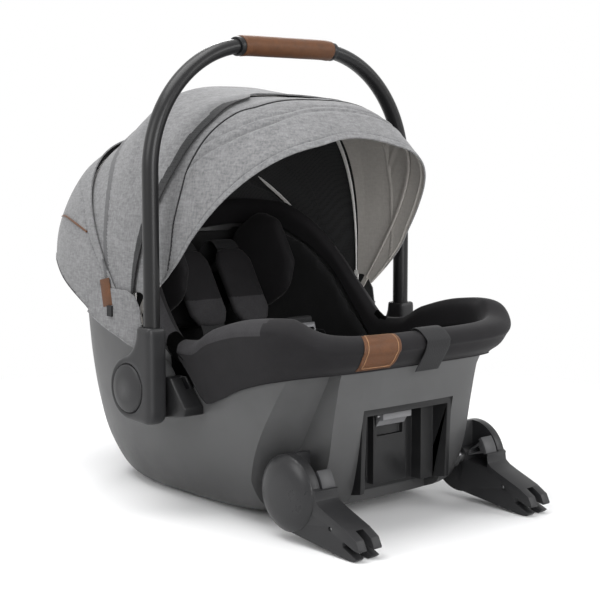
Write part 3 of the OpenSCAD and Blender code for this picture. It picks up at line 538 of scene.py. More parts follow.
def jersey(name, colour, **sockets):
    """Smooth knit: rows of tiny loops, slight pilling and a dull sheen."""
    looks = {"Sheen_Weight": 0.05, "Sheen_Roughness": 0.4, "Specular_IOR_Level": 0.25, **sockets}
    m, tree, skin, where = blank(name, 0.82, **looks)
    cloud = add(tree, "ShaderNodeTexNoise", {"Vector": where, "Scale": 35, "Detail": 6, "Roughness": 0.65}).outputs[0]
    fleck = add(tree, "ShaderNodeTexNoise", {"Vector": where, "Scale": 520, "Detail": 2}).outputs[0]
    shade = weighted(tree, cloud, 0.6, fleck, 0.4)
    tree.links.new(blend_colours(tree, spread(tree, shade, 0.3, 0.7), scaled(colour, 0.72), scaled(colour, 1.3)),
                   skin.inputs["Base Color"])
    rows = add(tree, "ShaderNodeTexWave", {"Vector": where, "Scale": 260, "Distortion": 2, "Detail": 2},
               bands_direction="DIAGONAL").outputs[0]
    first = bump(tree, skin, rows, 0.25, 0.15)
    bump(tree, skin, fleck, 0.3, 0.2, first)
    return m


def leather(name, colour):
    """Full grain leather: pebbled cells and darker creases."""
    m, tree, skin, where = blank(name, 0.5, Coat_Weight=0.03, Coat_Roughness=0.4, Specular_IOR_Level=0.25)
    cells = add(tree, "ShaderNodeTexVoronoi", {"Vector": where, "Scale": 620}, feature="DISTANCE_TO_EDGE").outputs[0]
    cloud = add(tree, "ShaderNodeTexNoise", {"Vector": where, "Scale": 60, "Detail": 6, "Roughness": 0.7}).outputs[0]
    crease = spread(tree, cells, 0.0, 0.25)
    tone = blend_colours(tree, spread(tree, cloud, 0.3, 0.7), scaled(colour, 0.72), scaled(colour, 1.22))
    tree.links.new(blend_colours(tree, spread(tree, crease, 0, 1, 0.72, 1.0), scaled(colour, 0.45), tone),
                   skin.inputs["Base Color"])
    tree.links.new(spread(tree, cloud, 0.3, 0.7, 0.42, 0.6), skin.inputs["Roughness"])
    bump(tree, skin, crease, 0.4, 0.2)
    return m


def webbing(name, colour):
    """Seat belt webbing: ribs along its length crossed by a fine twill."""
    m, tree, skin, where = blank(name, 0.7, Sheen_Weight=0.03, Specular_IOR_Level=0.3)
    ribs = add(tree, "ShaderNodeTexWave", {"Vector": where, "Scale": 130}, bands_direction="X").outputs[0]
    twill = add(tree, "ShaderNodeTexWave", {"Vector": where, "Scale": 210}, bands_direction="DIAGONAL").outputs[0]
    height = math_node(tree, "ADD", ribs, math_node(tree, "MULTIPLY", twill, 0.6))
    tree.links.new(blend_colours(tree, spread(tree, height, 0, 1.6), scaled(colour, 0.6), scaled(colour, 1.3)),
                   skin.inputs["Base Color"])
    bump(tree, skin, height, 0.4, 0.25)
    return m


def mesh_cloth(name, colour):
    """Ventilation mesh: small round holes in rows."""
    m, tree, skin, where = blank(name, 0.8, Sheen_Weight=0.04, Specular_IOR_Level=0.3)
    cells = add(tree, "ShaderNodeTexVoronoi", {"Vector": where, "Scale": 480, "Randomness": 0.25}).outputs[0]
    hole = spread(tree, cells, 0.25, 0.42)
    tree.links.new(blend_colours(tree, hole, scaled(colour, 0.25), scaled(colour, 1.2)), skin.inputs["Base Color"])
    bump(tree, skin, hole, 0.6, 0.4)
    return m


# ---- shell ----


def shell_form(g, low):
    """Closed body from height low to past the rim, its outline moved out by g."""
    rows = 56

    def place(u, v):
        if v <= 0 or v >= 1:
            z = low if v <= 0 else TOP_Z
            return Vector((0, (curve(z, REAR_END) + curve(z, FRONT_END)) / 2, z))
        w = (v * (rows + 2) - 1) / rows
        return plan(360 * u, low + (TOP_Z - low) * w ** 1.35, g)
    return surface(place, 176, rows + 2)


def bridged(rings):
    """Closed body between two outlines with the same number of points."""
    bm = bmesh.new()
    ends = [bm.faces.new([bm.verts.new(Vector(p) * MM) for p in ring]) for ring in rings]
    bmesh.ops.bridge_loops(bm, edges=[e for end in ends for e in end.edges])
    bmesh.ops.recalc_face_normals(bm, faces=bm.faces)
    return bm


def channel(side, g):
    """Stowage channel that an arm swings up into, its walls moved by g; the left one mirrors the right one."""
    wide = [(FOOT_END, 190 + g), (-236 + g, 190 + g), (-152 + g, AXLE_Z), (-110 + g, BELOW), (FOOT_END, BELOW)]
    deep = [(FOOT_END, 186 + g), (-262 + g, 186 + g), (-190 + g, AXLE_Z), (-176 + g, BELOW), (FOOT_END, BELOW)]
    bm = bridged([[(SHELL_HALF_W + 14, y, z) for y, z in wide], [(CORE_HALF_W - g, y, z) for y, z in deep]])
    if side < 0:
        bmesh.ops.scale(bm, verts=bm.verts, vec=(-1, 1, 1))
        bmesh.ops.recalc_face_normals(bm, faces=bm.faces)
    return bm


def box(x0, x1, y0, y1, z0, z1):
    """Block between pairs of faces, in millimetres."""
    return prism([(y0, z0), (y1, z0), (y1, z1), (y0, z1)], x0, x1)


def axle_rod(side, x0, x1, r, segments=32):
    """Bar on the axle of the anchor arms, from x0 to x1 on one side."""
    return rod((side * x0, AXLE_Y, AXLE_Z), (side * x1, AXLE_Y, AXLE_Z), r, segments)


# Bosses that carry the axles (from x, to x, radius), the hole for each in the channel's wall, and its bore
BOSS = (92, 112, 11)
BOSS_HOLE = (92, 122, 11)
BOSS_BORE = (96, 113, 7.3)


def build_shell(mats):
    forms = []
    for g in (0, size("wall")):
        obj = new_object(shell_form(-g, g), "form")
        for side in (-1, 1):
            cut(obj, channel(side, g))
        cut(obj, box(-RECESS_HALF_W - g, RECESS_HALF_W + g, FOOT_END, FACE_Y + g, BELOW, RECESS_TOP + g))
        forms.append(obj)
    outer, inner = forms
    core = bmesh.new()
    core.from_mesh(inner.data)
    bpy.data.objects.remove(inner)
    cut(outer, core)
    edge = [(y, cover_z(y) - size("cover_roll")) for y in range(-320, 271, 10)]
    cut(outer, prism(edge + [(270, 480), (-320, 480)], -230, 230))
    for side in (-1, 1):
        cut(outer, axle_rod(side, *BOSS_HOLE))
    outer.name = "shell_skin"
    bosses = new_object(join(*[axle_rod(side, *BOSS, segments=64) for side in (-1, 1)]), "stub_bosses")
    for side in (-1, 1):
        cut(bosses, axle_rod(side, *BOSS_BORE, segments=64))
    finish(outer, "seat", mats["shell"], ["outer_shell"], sharp=34)
    finish(bosses, "seat", mats["shell"], sharp=40)


# ---- moulded and metal pieces ----

# Node or pair of nodes, its finish and the radius of its edges, by body
MOULDED = {
    "seat": [("inner_bucket", "shell", 0), ("front_panel", "black", 0.8), ("lever_rivet", "steel", 0.3),
             ("axle_stub", "steel", 0.6), ("belt_guide", "black", 1.6), ("handle_mount", "shell", 1.2),
             ("canopy_clip", "black", 0.8), ("canopy_hook", "black", 1.0),
             ("buckle_body", "black", 1.4), ("tongue", "tongue", 0.5), ("adjuster_body", "black", 1.2)],
    "release_lever": [("release_lever", "lever", 1.0)],
    "isofix": [("isofix_arm", "arm", 1.2), ("isofix_cover", "cover", 0.8)],
    "unlock": [("isofix_release", "trim", 0.6)],
    "latch": [("isofix_latch", "steel", 0.5)],
    "handle": [("handle_tube", "tube", 0), ("grip_end", "black", 0.5), ("handle_arm", "hub", 0)],
    "handle_button": [("handle_button", "hub", 0.8)],
    "buckle_button": [("buckle_button", "red", 1.2)],
    "adjuster_button": [("adjuster_button", "trim", 0.8)],
}
PAIRED_BODIES = ("isofix", "unlock", "latch", "handle_button")
# Opening of an anchor arm's jaw, as seen along its axle before the arm's tilt
NOTCH = [(-36, 64), (-39, 23), (-43, 16.5), (-50, 14.6), (-60, 14.2), (-99, 14.4), (-99, 64)]
ARM_TILT = 22
# What a handle arm loses as its steps melt
ARM_GROWTH = 0.7


def notched(bm):
    """Anchor arm with the notch of its jaw."""
    obj = new_object(bm, "notched")
    notch = prism(NOTCH, -190, 190)
    bmesh.ops.rotate(notch, verts=notch.verts, matrix=Matrix.Rotation(math.radians(ARM_TILT), 3, "X"))
    bmesh.ops.translate(notch, verts=notch.verts, vec=Vector((0, AXLE_Y, AXLE_Z)) * MM)
    cut(obj, notch)
    whole = bmesh.new()
    whole.from_mesh(obj.data)
    bpy.data.objects.remove(obj)
    return whole


def swollen(obj):
    """Handle arm as one flowing moulding: its steps melted, then the size that this takes given back."""
    relaxed(obj, 2.2, 16)
    moved = [v.co + v.normal * (ARM_GROWTH * MM) for v in obj.data.vertices]
    for v, p in zip(obj.data.vertices, moved):
        v.co = p


def build_moulded(mats, bodies):
    for body in bodies:
        for stem, look, radius in MOULDED[body]:
            for suffix in ("",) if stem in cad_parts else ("_left", "_right"):
                node = stem + suffix
                bm = node_copy(node)
                if stem == "isofix_arm":
                    bm = notched(bm)
                if radius:
                    rounded(bm, radius)
                obj = new_object(bm, node + "_form")
                if stem == "handle_arm":
                    swollen(obj)
                owner = body + suffix if body in PAIRED_BODIES else body
                finish(obj, owner, mats[look], [node], sharp=32)


# ---- cloth ----


def smooth_line(points, n):
    """Points along a smooth line through those given, closed lines left to the caller."""
    out = []
    last = len(points) - 1
    for i in range(n + 1):
        s = last * i / n
        k = min(int(s), last - 1)
        f = s - k
        p0, p1 = points[max(k - 1, 0)], points[k]
        p2, p3 = points[k + 1], points[min(k + 2, last)]
        out.append(Vector([0.5 * (2 * b + (c - a) * f + (2 * a - 5 * b + 4 * c - d) * f * f
                                  + (3 * b - a - 3 * c + d) * f ** 3) for a, b, c, d in zip(p0, p1, p2, p3)]))
    return out


def strap(line, across=(1, 0, 0), n=60):
    """Flat band of webbing along a line in millimetres, its width lying along across."""
    width, thick = size("webbing_width"), size("webbing_thickness")
    points = smooth_line(line, n)
    side = Vector(across)
    normals = []
    for i in range(len(points)):
        d = (points[min(i + 1, n)] - points[max(i - 1, 0)]).normalized()
        normals.append(d.cross(side).normalized())
    rows = n + 2

    def place(u, v):
        j = round(v * rows)
        if j in (0, rows):
            return points[min(j, n)]
        a = 2 * math.pi * u
        return (points[j - 1] + side * (width / 2 * power(math.cos(a), 0.3))
                + normals[j - 1] * (thick / 2 * power(math.sin(a), 0.6)))
    return surface(place, 28, rows)


# Middle of the back rest, root of the buckle and middle of the harness adjuster (y, z, tilt in degrees);
# the adjuster's z is its rise over the liner
BACK = (160, 209, 58)
BUCKLE = (-66, 148, 20)
ADJUSTER = (-212, 0.6, 37.7)


def on_back(up, out):
    """Place (y, z) on the back rest, from its middle up along it and out from it."""
    y, z, tilt = BACK
    a = math.radians(tilt)
    return (y + up * math.cos(a) - out * math.sin(a), z + up * math.sin(a) + out * math.cos(a))


def on_buckle(out, up):
    """Place (y, z) on the buckle, out towards the head end and up along it."""
    y, z, tilt = BUCKLE
    a = math.radians(tilt)
    return (y + up * math.sin(a) + out * math.cos(a), z + up * math.cos(a) - out * math.sin(a))


# Height of the liner over the pan, and the pan's lowest line (y, z)
LINER_RISE = 27.3
PAN_LOW = [(-310, 190), (-262, 176), (-200, 128), (-120, 80), (-50, 52), (20, 54), (90, 98), (160, 180),
           (205, 262), (240, 318)]


def liner_z(y):
    """Height of the liner's top in the middle of the pan."""
    return lookup(y, PAN_LOW) + LINER_RISE


def on_adjuster(along, up):
    """Place (y, z) from the harness adjuster, which lies on the pan's slope."""
    y, rise, tilt = ADJUSTER
    a = math.radians(tilt)
    return (y + along * math.cos(a) + up * math.sin(a),
            liner_z(y) + rise - along * math.sin(a) + up * math.cos(a))


def across_at(x, line):
    """Line (y, z) put at x."""
    return [(x, y, z) for y, z in line]


def build_harness(mats):
    for side, name in ((-1, "left"), (1, "right")):
        loop = [on_back(46.6, 92), on_back(60, 87), on_back(67, 74), on_back(62, 54), on_back(54, 27.4)]
        obj = new_object(strap(across_at(side * 36, loop)), "shoulder_loop_cloth_" + name)
        finish(obj, "head_rest", mats["webbing"], ["shoulder_loop_" + name])
        line = [on_back(45, 92), on_back(-30, 92), on_back(-70, 92), on_back(-92, 88), on_buckle(8, 74),
                on_buckle(0, 65.4)]
        obj = new_object(strap(across_at(side * 36, line)), "shoulder_strap_cloth_" + name)
        finish(obj, "seat", mats["webbing"], ["shoulder_strap_" + name])
        lap = [(side * x, -43, z) for x, z in ((59, 200), (76, 176), (92, 160), (108, 152))]
        obj = new_object(strap(lap, across=(0, 1, 0)), "lap_strap_cloth_" + name)
        finish(obj, "seat", mats["webbing"], ["lap_strap_" + name])
    crotch = [on_buckle(0, 3), on_buckle(0, -4), (-69, 128), (-69, liner_z(-69) + 21.5)]
    obj = new_object(strap(across_at(0, crotch)), "crotch_strap_cloth")
    finish(obj, "seat", mats["webbing"], ["crotch_strap"])


# Drop below the rim, and distance out from the shell, of the adjuster's strap where it goes over
STRAP_OVER_RIM = [(14, -18.6), (6, -15.5), (0, -10), (-2.6, -4), (-0.6, 5), (8, 15.8), (14, 17.6), (24, 17.6),
                  (46, 13.5)]


def build_adjuster_strap(mats):
    top = edge_z(270)
    tail = [on_adjuster(-9, 2.3), on_adjuster(-46, 2.3), (-261, top - 18), (-270, top - 20), (-275.8, top - 17)]
    for drop, g in STRAP_OVER_RIM:
        tail.append((plan(270, top - max(drop, 0), g)[1], top - drop))
    obj = new_object(strap(across_at(2, tail), n=110), "adjuster_strap_cloth")
    finish(obj, "seat", mats["webbing"], ["adjuster_strap"])


# Node, body, finish, voxel, rounds of smoothing, pressure, how far it may swell, and fill
PADS = [("seat_liner", "seat", "liner", 7, 8, 0, 3.0, 0.8),
        ("seat_insert", "seat", "jersey", 5, 8, 4, 4.0, 0.7),
        ("head_support", "head_rest", "jersey", 4, 7, 4, 3.0, 0.7),
        ("shoulder_pad_left", "head_rest", "jersey", 3, 4, 4, 1.5, 0.6),
        ("shoulder_pad_right", "head_rest", "jersey", 3, 4, 4, 1.5, 0.6),
        ("crotch_pad", "seat", "jersey", 2.5, 4, 4, 1.5, 0.6)]
# Height below which a shoulder pad has its lighter panel
PAD_PANEL_Z = 236


def build_pads(mats):
    for node, body, look, voxel, times, pressure, cap, fill in PADS:
        obj = stuffed(new_object(node_copy(node), node + "_cloth"), voxel, times, pressure, cap)
        finish(obj, body, [mats[look], mats["insert"]], [node], sharp=0)
        if node.startswith("shoulder"):
            for p in obj.data.polygons:
                p.material_index = 1 if p.center.z < PAD_PANEL_Z * MM else 0


# Hem of the rim's cover (y, z), and how far the cover bulges out (y, distance)
HEM_LINE = [(-320, 189), (-285, 186), (-240, 178), (-174, 161), (-128, 143), (-112, 138), (-78, 170), (-66, 186),
            (-50, 190), (0, 212), (40, 250), (80, 290), (130, 315), (270, 290)]
BULGE = [(-320, 15), (-250, 16), (-120, 12), (-60, 9), (-20, 6), (30, 4), (270, 3)]
# Row of the section that is the seam, and the row at which the lighter panel over it ends
SEAM_ROW = 19
PANEL_END_ROW = 30.5
COVER_STATIONS = 256
# Openings in the cover's sides (y, z): belt guide, handle hub with its radius, and canopy clip
GUIDE_OPENING = [(-50, 110), (-103, 118), (-104, 135), (-76, 168), (-50, 168)]
HUB_OPENING = (-23, 150.5, 32)
CLIP_OPENING = [(-2.5, 238), (-2.5, 185), (22.5, 185), (22.5, 238)]
# Painted shade beside the handle's hub, a near black sheet over the shell: where it starts and how far it goes, in y
# and z
SHADE_SHEET_Y = (-84, 40)
SHADE_SHEET_Z = (150, 48)
# Part of the cover beside the hub that is painted near black as painted shadow: from y, to y and up to z
PAINTED_HUB_SHADOW = (-73, -44, 216)


def cover_section(t):
    """Section of the padded cover at angle t: up the outside, over the rim and down the inside."""
    top = edge_z(t)
    y = plan(t, top, 0)[1]
    hem = min(curve(y, HEM_LINE), top - 30)
    b = curve(y, BULGE)
    seat = top - size("cover_roll") + 1
    outer = [(hem, 3.0), (hem + 3, 3.6), (hem + (top - hem) * 0.25, 0.6 * b + 1.4),
             (hem + (top - hem) * 0.5, 0.88 * b), (top - 15, b), (top - 4.5, b * 0.6), (top, -4), (top - 4, -10.4),
             (top - 14, -16.2), (top - 34, -16.8)]
    inner = [(top - 36, -15.5), (top - 36, -9.8), (top - 30, -9.6), (seat - 1, -9.6), (seat, -8.6), (seat, -0.2),
             (seat - 1, 0.8), (hem + (top - hem) * 0.3, 0.8), (hem + 1, 0.8), (hem, 1.6)]
    return smooth_line([(z, g) for z, g in outer], 44), [Vector(p) for p in inner]


def build_shade_sheets(mats):
    """Painted shade: a near black sheet just outside the shell between each handle arm and the cover, where the belt
    guide sits.
    """
    for side, name in ((-1, "left"), (1, "right")):
        def wall(u, v):
            y, low, high = SHADE_SHEET_Y[0] + SHADE_SHEET_Y[1] * u, 90, 180
            for _ in range(24):
                t = (low + high) / 2
                low, high = (t, high) if plan(t, 185, 1)[1] > y else (low, t)
            p = plan(t, SHADE_SHEET_Z[0] + SHADE_SHEET_Z[1] * v, 0.9)
            return Vector((-side * p[0], p[1], p[2]))
        obj = solidify(new_object(surface(wall, 24, 24), "painted_shade_sheet_" + name), 0.8, 0)
        finish(obj, "seat", mats["gap"])


def cover_line(t):
    """Section of the cover at angle t as points, with its seams pressed in."""
    outer, inner = cover_section(t)
    y = plan(t, outer[0][0], 0)[1]
    pressed = {SEAM_ROW: size("seam_depth") if -228 < y < 22 else 0, 3: 0.5}
    return [plan(t, p[0], p[1] - pressed.get(k, 0)) for k, p in enumerate(outer + inner)]


def build_cover(mats):
    lines = [cover_line(360 * i / COVER_STATIONS) for i in range(COVER_STATIONS)]
    rows = len(lines[0])
    bm = surface(lambda u, v: lines[round(u * COVER_STATIONS) % COVER_STATIONS][round(v * rows) % rows],
                 COVER_STATIONS, rows)
    flat = bm.loops.layers.uv["flat"]
    for f in bm.faces:
        k = min(loop[flat].uv.y for loop in f.loops) * rows
        y = f.calc_center_median().y / MM
        f.material_index = 1 if SEAM_ROW - 0.5 < k < PANEL_END_ROW and -226 < y < 20 else 0
    obj = new_object(bm, "rim_cover_cloth")
    for side in (-1, 1):
        cut(obj, prism(GUIDE_OPENING, side * 140, side * 210))
        y, z, r = HUB_OPENING
        cut(obj, rod((side * 140, y, z), (side * 210, y, z), r, 64))
        cut(obj, prism(CLIP_OPENING, side * 140, side * 200))
    # Painted shadow: faces of the cover beside each hub take the near black painted shade material
    index = []
    for p in obj.data.polygons:
        x, y, z = p.center / MM
        edge = PAINTED_HUB_SHADOW[0] + 6 * max((z - 190) / 24, 0)
        in_painted_shadow = abs(x) > 160 and edge < y < PAINTED_HUB_SHADOW[1] and z < PAINTED_HUB_SHADOW[2]
        index.append(2 if in_painted_shadow else p.material_index)
    finish(obj, "seat", [mats["jersey"], mats["insert"], mats["gap"]], ["rim_cover"], sharp=70)
    obj.data.polygons.foreach_set("material_index", index)


# Reach of each canopy panel by angle, and how boxy the arch is
ARCH_N = [(0, 2.7), (20, 2.7), (40, 2.6), (60, 2.55), (80, 2.7), (100, 3.1)]
VISOR = (186, [(84, 268), (96, 271), (102, 276), (108, 282), (114, 291), (120, 294), (126, 294), (134, 292),
               (145, 289)])
MID = (189.4, [(44, 286), (50, 285), (56, 280.5), (64, 279.5), (72, 284), (80, 290), (88, 282), (96, 277), (104, 281),
               (110, 287), (130, 290)])
REAR = (192.8, [(-14, 250), (-6, 258), (0, 271), (8, 294), (16, 312), (24, 318), (32, 315.5), (40, 309), (48, 295),
                (60, 287)])
# Edges and seams as angles, by degrees from the top of the arch towards either side
HEM = [(0, 131.5), (12, 133.5), (30, 134), (55, 134.5), (69, 136), (77, 139), (87.5, 141)]
ZIP = [(0, 114.2), (18, 114.8), (26, 113.2), (40, 112.6), (55, 114), (63, 117), (71, 121.5), (77, 130), (82, 141)]
QUILT = [[(0, 121), (20, 123), (38, 120.5), (52, 115.5), (60, 113)],
         [(0, 118.8), (13, 120.6), (33, 118.2), (47, 113)]]
MID_EDGE = [(0, 98), (7, 102), (14, 107.5), (22, 108), (35, 109.5), (52, 109.6), (66, 108), (76, 104), (87.5, 98)]
GUSSET = [(0, 0), (11, 0), (21, 3.2), (37, 3.2), (56, 3.8), (70, 6), (87.5, 8)]
HOOP_BAND = [(0, 60), (20, 61), (42, 62), (53, 63), (63, 61), (72, 55), (78, 49.5), (84, 40)]
REAR_EDGE = [(0, -3), (12, 0), (20, 8), (30, 12.5), (40, 14.5), (50, 15), (62, 12.5), (70, 10), (75.5, 6.5),
             (81.5, -6), (87.5, -14)]
DART = [(43, 41), (56, 44.5), (66.5, 43.5), (77, 43.5), (83, 38), (87, 20)]


def on_canopy(panel, u, a, out=0.0):
    """Point on a panel's outside, u degrees round the arch, at angle a, raised by out."""
    half_w, reach = panel
    e = 2 / curve(a, ARCH_N)
    c, s = math.cos(math.radians(u)), max(math.sin(math.radians(u)), 0)
    d = (curve(a, reach) + out) * s ** e
    return Vector(((half_w + out) * power(c, e), PIVOT_Y + d * math.cos(math.radians(a)),
                   PIVOT_Z + d * math.sin(math.radians(a))))


# First and last angle of a panel's arch, and the steps in which it is measured
ARCH_ENDS = (2.5, 177.5)
ARCH_STEPS = 600


def even_steps(panel, a, n):
    """Angles that divide a panel's arch into n equal lengths."""
    first, last = ARCH_ENDS
    angles = [first + (last - first) * i / ARCH_STEPS for i in range(ARCH_STEPS + 1)]
    points = [on_canopy(panel, u, a) for u in angles]
    lengths = [0]
    for p, q in zip(points, points[1:]):
        lengths.append(lengths[-1] + (q - p).length)
    table = list(zip(lengths, angles))
    return [lookup(lengths[-1] * i / n, table) for i in range(n + 1)]


def bell(x, w):
    """Smooth hump of width w round 0, for seams."""
    return math.exp(-(x / w) ** 2) if abs(x) < 3 * w else 0.0


# Cloths of a canopy panel, by material index, and the stations along its arch
PANEL_LOOKS = ["melange", "lining", "mesh", "binding", "band"]
PANEL_STATIONS = 168
# Share of a unit normal past which a face of a panel counts as its inside
INSIDE = -0.3


def build_panel(name, panel, body, nodes, top, bottom, rise, region, lining, mats, extra=(), fine=2.2):
    """Canopy panel between two edge lines; rise gives its seams' height and region names its cloth."""
    nu = PANEL_STATIONS
    steps = even_steps(panel, (top[0][1] + bottom[0][1]) / 2, nu)
    rows = int((top[0][1] - bottom[0][1]) * 5 / fine)
    cells = {}

    def place(u, v):
        i, j = round(u * nu), round(v * rows)
        s = abs(steps[i] - 90)
        a0, a1 = curve(s, top), curve(s, bottom)
        a = a0 + (a1 - a0) * j / rows
        cells[i, j] = PANEL_LOOKS.index(region(s, a, a0, a1))
        return on_canopy(panel, steps[i], a, rise(s, a, a0, a1))
    obj = new_object(join(surface(place, nu, rows), *extra), name)
    mesh = obj.data
    flat = mesh.uv_layers["flat"].data
    index = []
    for p in mesh.polygons:
        uv = [flat[i].uv for i in p.loop_indices]
        i, j = (round(min(w[k] for w in uv) * n) for k, n in ((0, nu), (1, rows)))
        index.append(cells[i, j] if max(w[0] for w in uv) > 0 else 0)
    centre = Vector((0, PIVOT_Y, PIVOT_Z)) * MM
    p = mesh.polygons[len(mesh.polygons) // 3]
    if (p.center - centre).dot(p.normal) < 0:
        mesh.flip_normals()
    mesh.polygons.foreach_set("material_index", index)
    for look in PANEL_LOOKS:
        mesh.materials.append(mats[look])
    solidify(obj, size("panel_thickness"))
    outside = (PANEL_LOOKS.index("melange"), PANEL_LOOKS.index("band"))
    index = []
    for p in obj.data.polygons:
        inner = (p.center - centre).normalized().dot(p.normal) < INSIDE
        index.append(PANEL_LOOKS.index(lining) if inner and p.material_index in outside else p.material_index)
    finish(obj, body, [mats[look] for look in PANEL_LOOKS], nodes, sharp=60)
    obj.data.polygons.foreach_set("material_index", index)
    return obj


# Turn about the pivot that a millimetre makes at the bows' reach of 280 mm
DEGREES_PER_MM = 57.3 / 280
# Half the thickness of a bow's flat ends, the radius of its eye, and its leg (y, z)
PLATE_HALF = 0.9
EYE_R = 12
LEG = [(-3.5, 0), (3.5, 0), (3.5, 40), (-3.5, 40)]


def build_bow(name, panel, body, node, a, inward, look, mats, eyes=True):
    """Hoop in its casing inside a panel, with the legs and eyes that it turns on."""
    nu = 120
    steps = even_steps(panel, a, nu)
    half = size("casing_width") / 2 * DEGREES_PER_MM

    def place(u, v):
        w = 2 * math.pi * v
        return on_canopy(panel, steps[round(u * nu)], a + half * power(math.cos(w), 0.5),
                         -inward + 1.1 * power(math.sin(w), 0.7))
    parts = [surface(place, nu, 20)]
    bmesh.ops.holes_fill(parts[0], edges=parts[0].edges)
    for side in (-1, 1) if eyes else ():
        x = side * (panel[0] - inward)
        eye = rod((x - PLATE_HALF, PIVOT_Y, PIVOT_Z), (x + PLATE_HALF, PIVOT_Y, PIVOT_Z), EYE_R, 48)
        leg = prism(LEG, x - PLATE_HALF, x + PLATE_HALF)
        bmesh.ops.rotate(leg, verts=leg.verts, cent=(0, 0, 0), matrix=Matrix.Rotation(math.radians(a - 90), 3, "X"))
        bmesh.ops.translate(leg, verts=leg.verts, vec=(0, PIVOT_Y * MM, PIVOT_Z * MM))
        parts += [eye, leg]
    obj = new_object(join(*parts), name)
    return finish(obj, body, mats[look], [node], sharp=50)


# Flank of the rear panel (y, z), clockwise from its front top; its piping runs over the lower part
SKIRT = [(72, 264), (40, 262), (12, 262), (-4, 256), (-14, 242), (-17, 224), (-14, 206), (-6, 196), (8, 197),
         (30, 204), (56, 212), (80, 221), (98, 230), (98, 250)]
SKIRT_X = (192.6, 193.6)
SKIRT_PIPING = 1.2


def skirt(side):
    """Flank of the rear panel that reaches down past the pivot."""
    return prism(SKIRT, side * SKIRT_X[0], side * SKIRT_X[1])


def tuck(obj):
    """Gives the piece a mesh of its own."""
    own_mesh(obj)


def build_visor(mats):
    def rise(s, a, a0, a1):
        h = 0.7 if a > a0 - 1.7 else 0.0
        h -= 0.9 * bell(a - (a0 - 1.9), 0.22)
        h -= 1.2 * bell(a - curve(s, ZIP), 0.5)
        if a > curve(s, ZIP) + 0.6:
            h -= sum(2.2 * bell(a - curve(s, q), 0.42) - 1.0 * bell(a - curve(s, q) - 1.6, 1.0) for q in QUILT)
        return h
    tuck(build_panel("visor_cloth", VISOR, "canopy_front", ["canopy_visor"], HEM, [(0, 94), (90, 94)], rise,
                     lambda s, a, a0, a1: "melange", "lining", mats, fine=1.5))
    line = [on_canopy(VISOR, 90 - s, curve(abs(s), ZIP), -0.9) for s in range(-80, 81, 2)]
    obj = new_object(tube(smooth_line(line, 240), size("zip_radius"), 8), "visor_zip")
    tuck(finish(obj, "canopy_front", mats["binding"]))


def on_hoop(s, a):
    """Whether the band over the rear bow passes here."""
    return -2.2 < a - curve(s, HOOP_BAND) < 2.2


def build_middle_panel(mats):
    def rise(s, a, a0, a1):
        return (0.6 if a > a0 - 0.9 else 0.0) + (0.7 if on_hoop(s, a) else 0.0)

    def region(s, a, a0, a1):
        return "mesh" if a > a0 - curve(s, GUSSET) else "band" if on_hoop(s, a) else "melange"
    build_panel("middle_cloth", MID, "canopy_middle", ["canopy_middle_panel"], MID_EDGE, [(0, 46), (90, 46)], rise,
                region, "mesh", mats)


def build_rear_panel(mats):
    def rise(s, a, a0, a1):
        return ((0.8 if a < a1 + 1.0 else 0.0) - (1.6 * bell(a - curve(s, DART), 0.4) if s > 40 else 0)
                + (0.7 if s > 76 and on_hoop(s, a) else 0))

    def region(s, a, a0, a1):
        return "binding" if a < a1 + 1.0 else "band" if s > 76 and on_hoop(s, a) else "melange"
    build_panel("rear_cloth", REAR, "seat", ["canopy_rear_panel"], [(0, 50), (90, 50)], REAR_EDGE, rise,
                region, "mesh", mats, [skirt(-1), skirt(1)])


def build_bows(mats):
    tuck(build_bow("front_bow_cased", VISOR, "canopy_front", "canopy_front_bow", 126, 4.4, "lining", mats))
    build_bow("middle_bow_cased", MID, "canopy_middle", "canopy_middle_bow", 91.2, 5.0, "tape", mats)
    build_bow("rear_bow_cased", REAR, "seat", "canopy_rear_bow", 47, 7.0, "tape", mats, eyes=False)


def build_piping(mats):
    for side, name in ((-1, "left"), (1, "right")):
        seam = ((36, 25), (50, 31.5), (59.5, 37), (66.5, 43.5))
        line = smooth_line([on_canopy(REAR, 90 - side * s, a, 0.6) for s, a in seam], 40)
        obj = new_object(tube(line, size("piping_radius")), "rear_piping_" + name)
        finish(obj, "seat", mats["leather"])
        edge = [(side * SKIRT_X[1], y, z) for y, z in reversed(SKIRT[5:13])]
        obj = new_object(tube(smooth_line(edge, 60), SKIRT_PIPING), "skirt_piping_" + name)
        finish(obj, "seat", mats["melange"])


# ---- leather ----


def build_grip(mats):
    obj = new_object(node_copy("handle_grip"), "handle_grip_leather")
    finish(obj, "handle", mats["leather"], ["handle_grip"], sharp=50)


# How far the tag hangs from its plain solid, and the box of its loop
TAG_SHIFT = (0, -11, 9)
TAG_LOOP = (-196.2, -193.4, 42, 52, 228, 241)


def build_tag(mats):
    tag = rounded(node_copy("canopy_tag"), 0.4)
    bmesh.ops.translate(tag, verts=tag.verts, vec=Vector(TAG_SHIFT) * MM)
    band = new_object(box(*TAG_LOOP), "tag_loop")
    finish(band, "seat", mats["webbing"])
    finish(new_object(tag, "canopy_tag_leather"), "seat", mats["leather"], ["canopy_tag"], sharp=50)


# First angle of the leather label round the rim and the angle that it takes up, and its first row
# on the cover's section and the rows that it takes up, as shares
LABEL_ANGLES = (239.5, 14.2)
LABEL_ROWS = (0.1, 0.66)


def on_label(u, v):
    """Point on the outside of the leather label, with its turned edge and its row of stitch holes."""
    t = LABEL_ANGLES[0] + LABEL_ANGLES[1] * (1 - u)
    outer = list(enumerate(cover_section(t)[0]))
    k = (LABEL_ROWS[0] + LABEL_ROWS[1] * v) * (len(outer) - 1)
    z, g = (lookup(k, [(n, p[i]) for n, p in outer]) for i in (0, 1))
    edge = min(u, 1 - u, v, 1 - v)
    return plan(t, z, g + 1.5 - (0.6 * (1 - min(edge / 0.03, 1)) + 0.35 * bell(edge - 0.07, 0.014)))


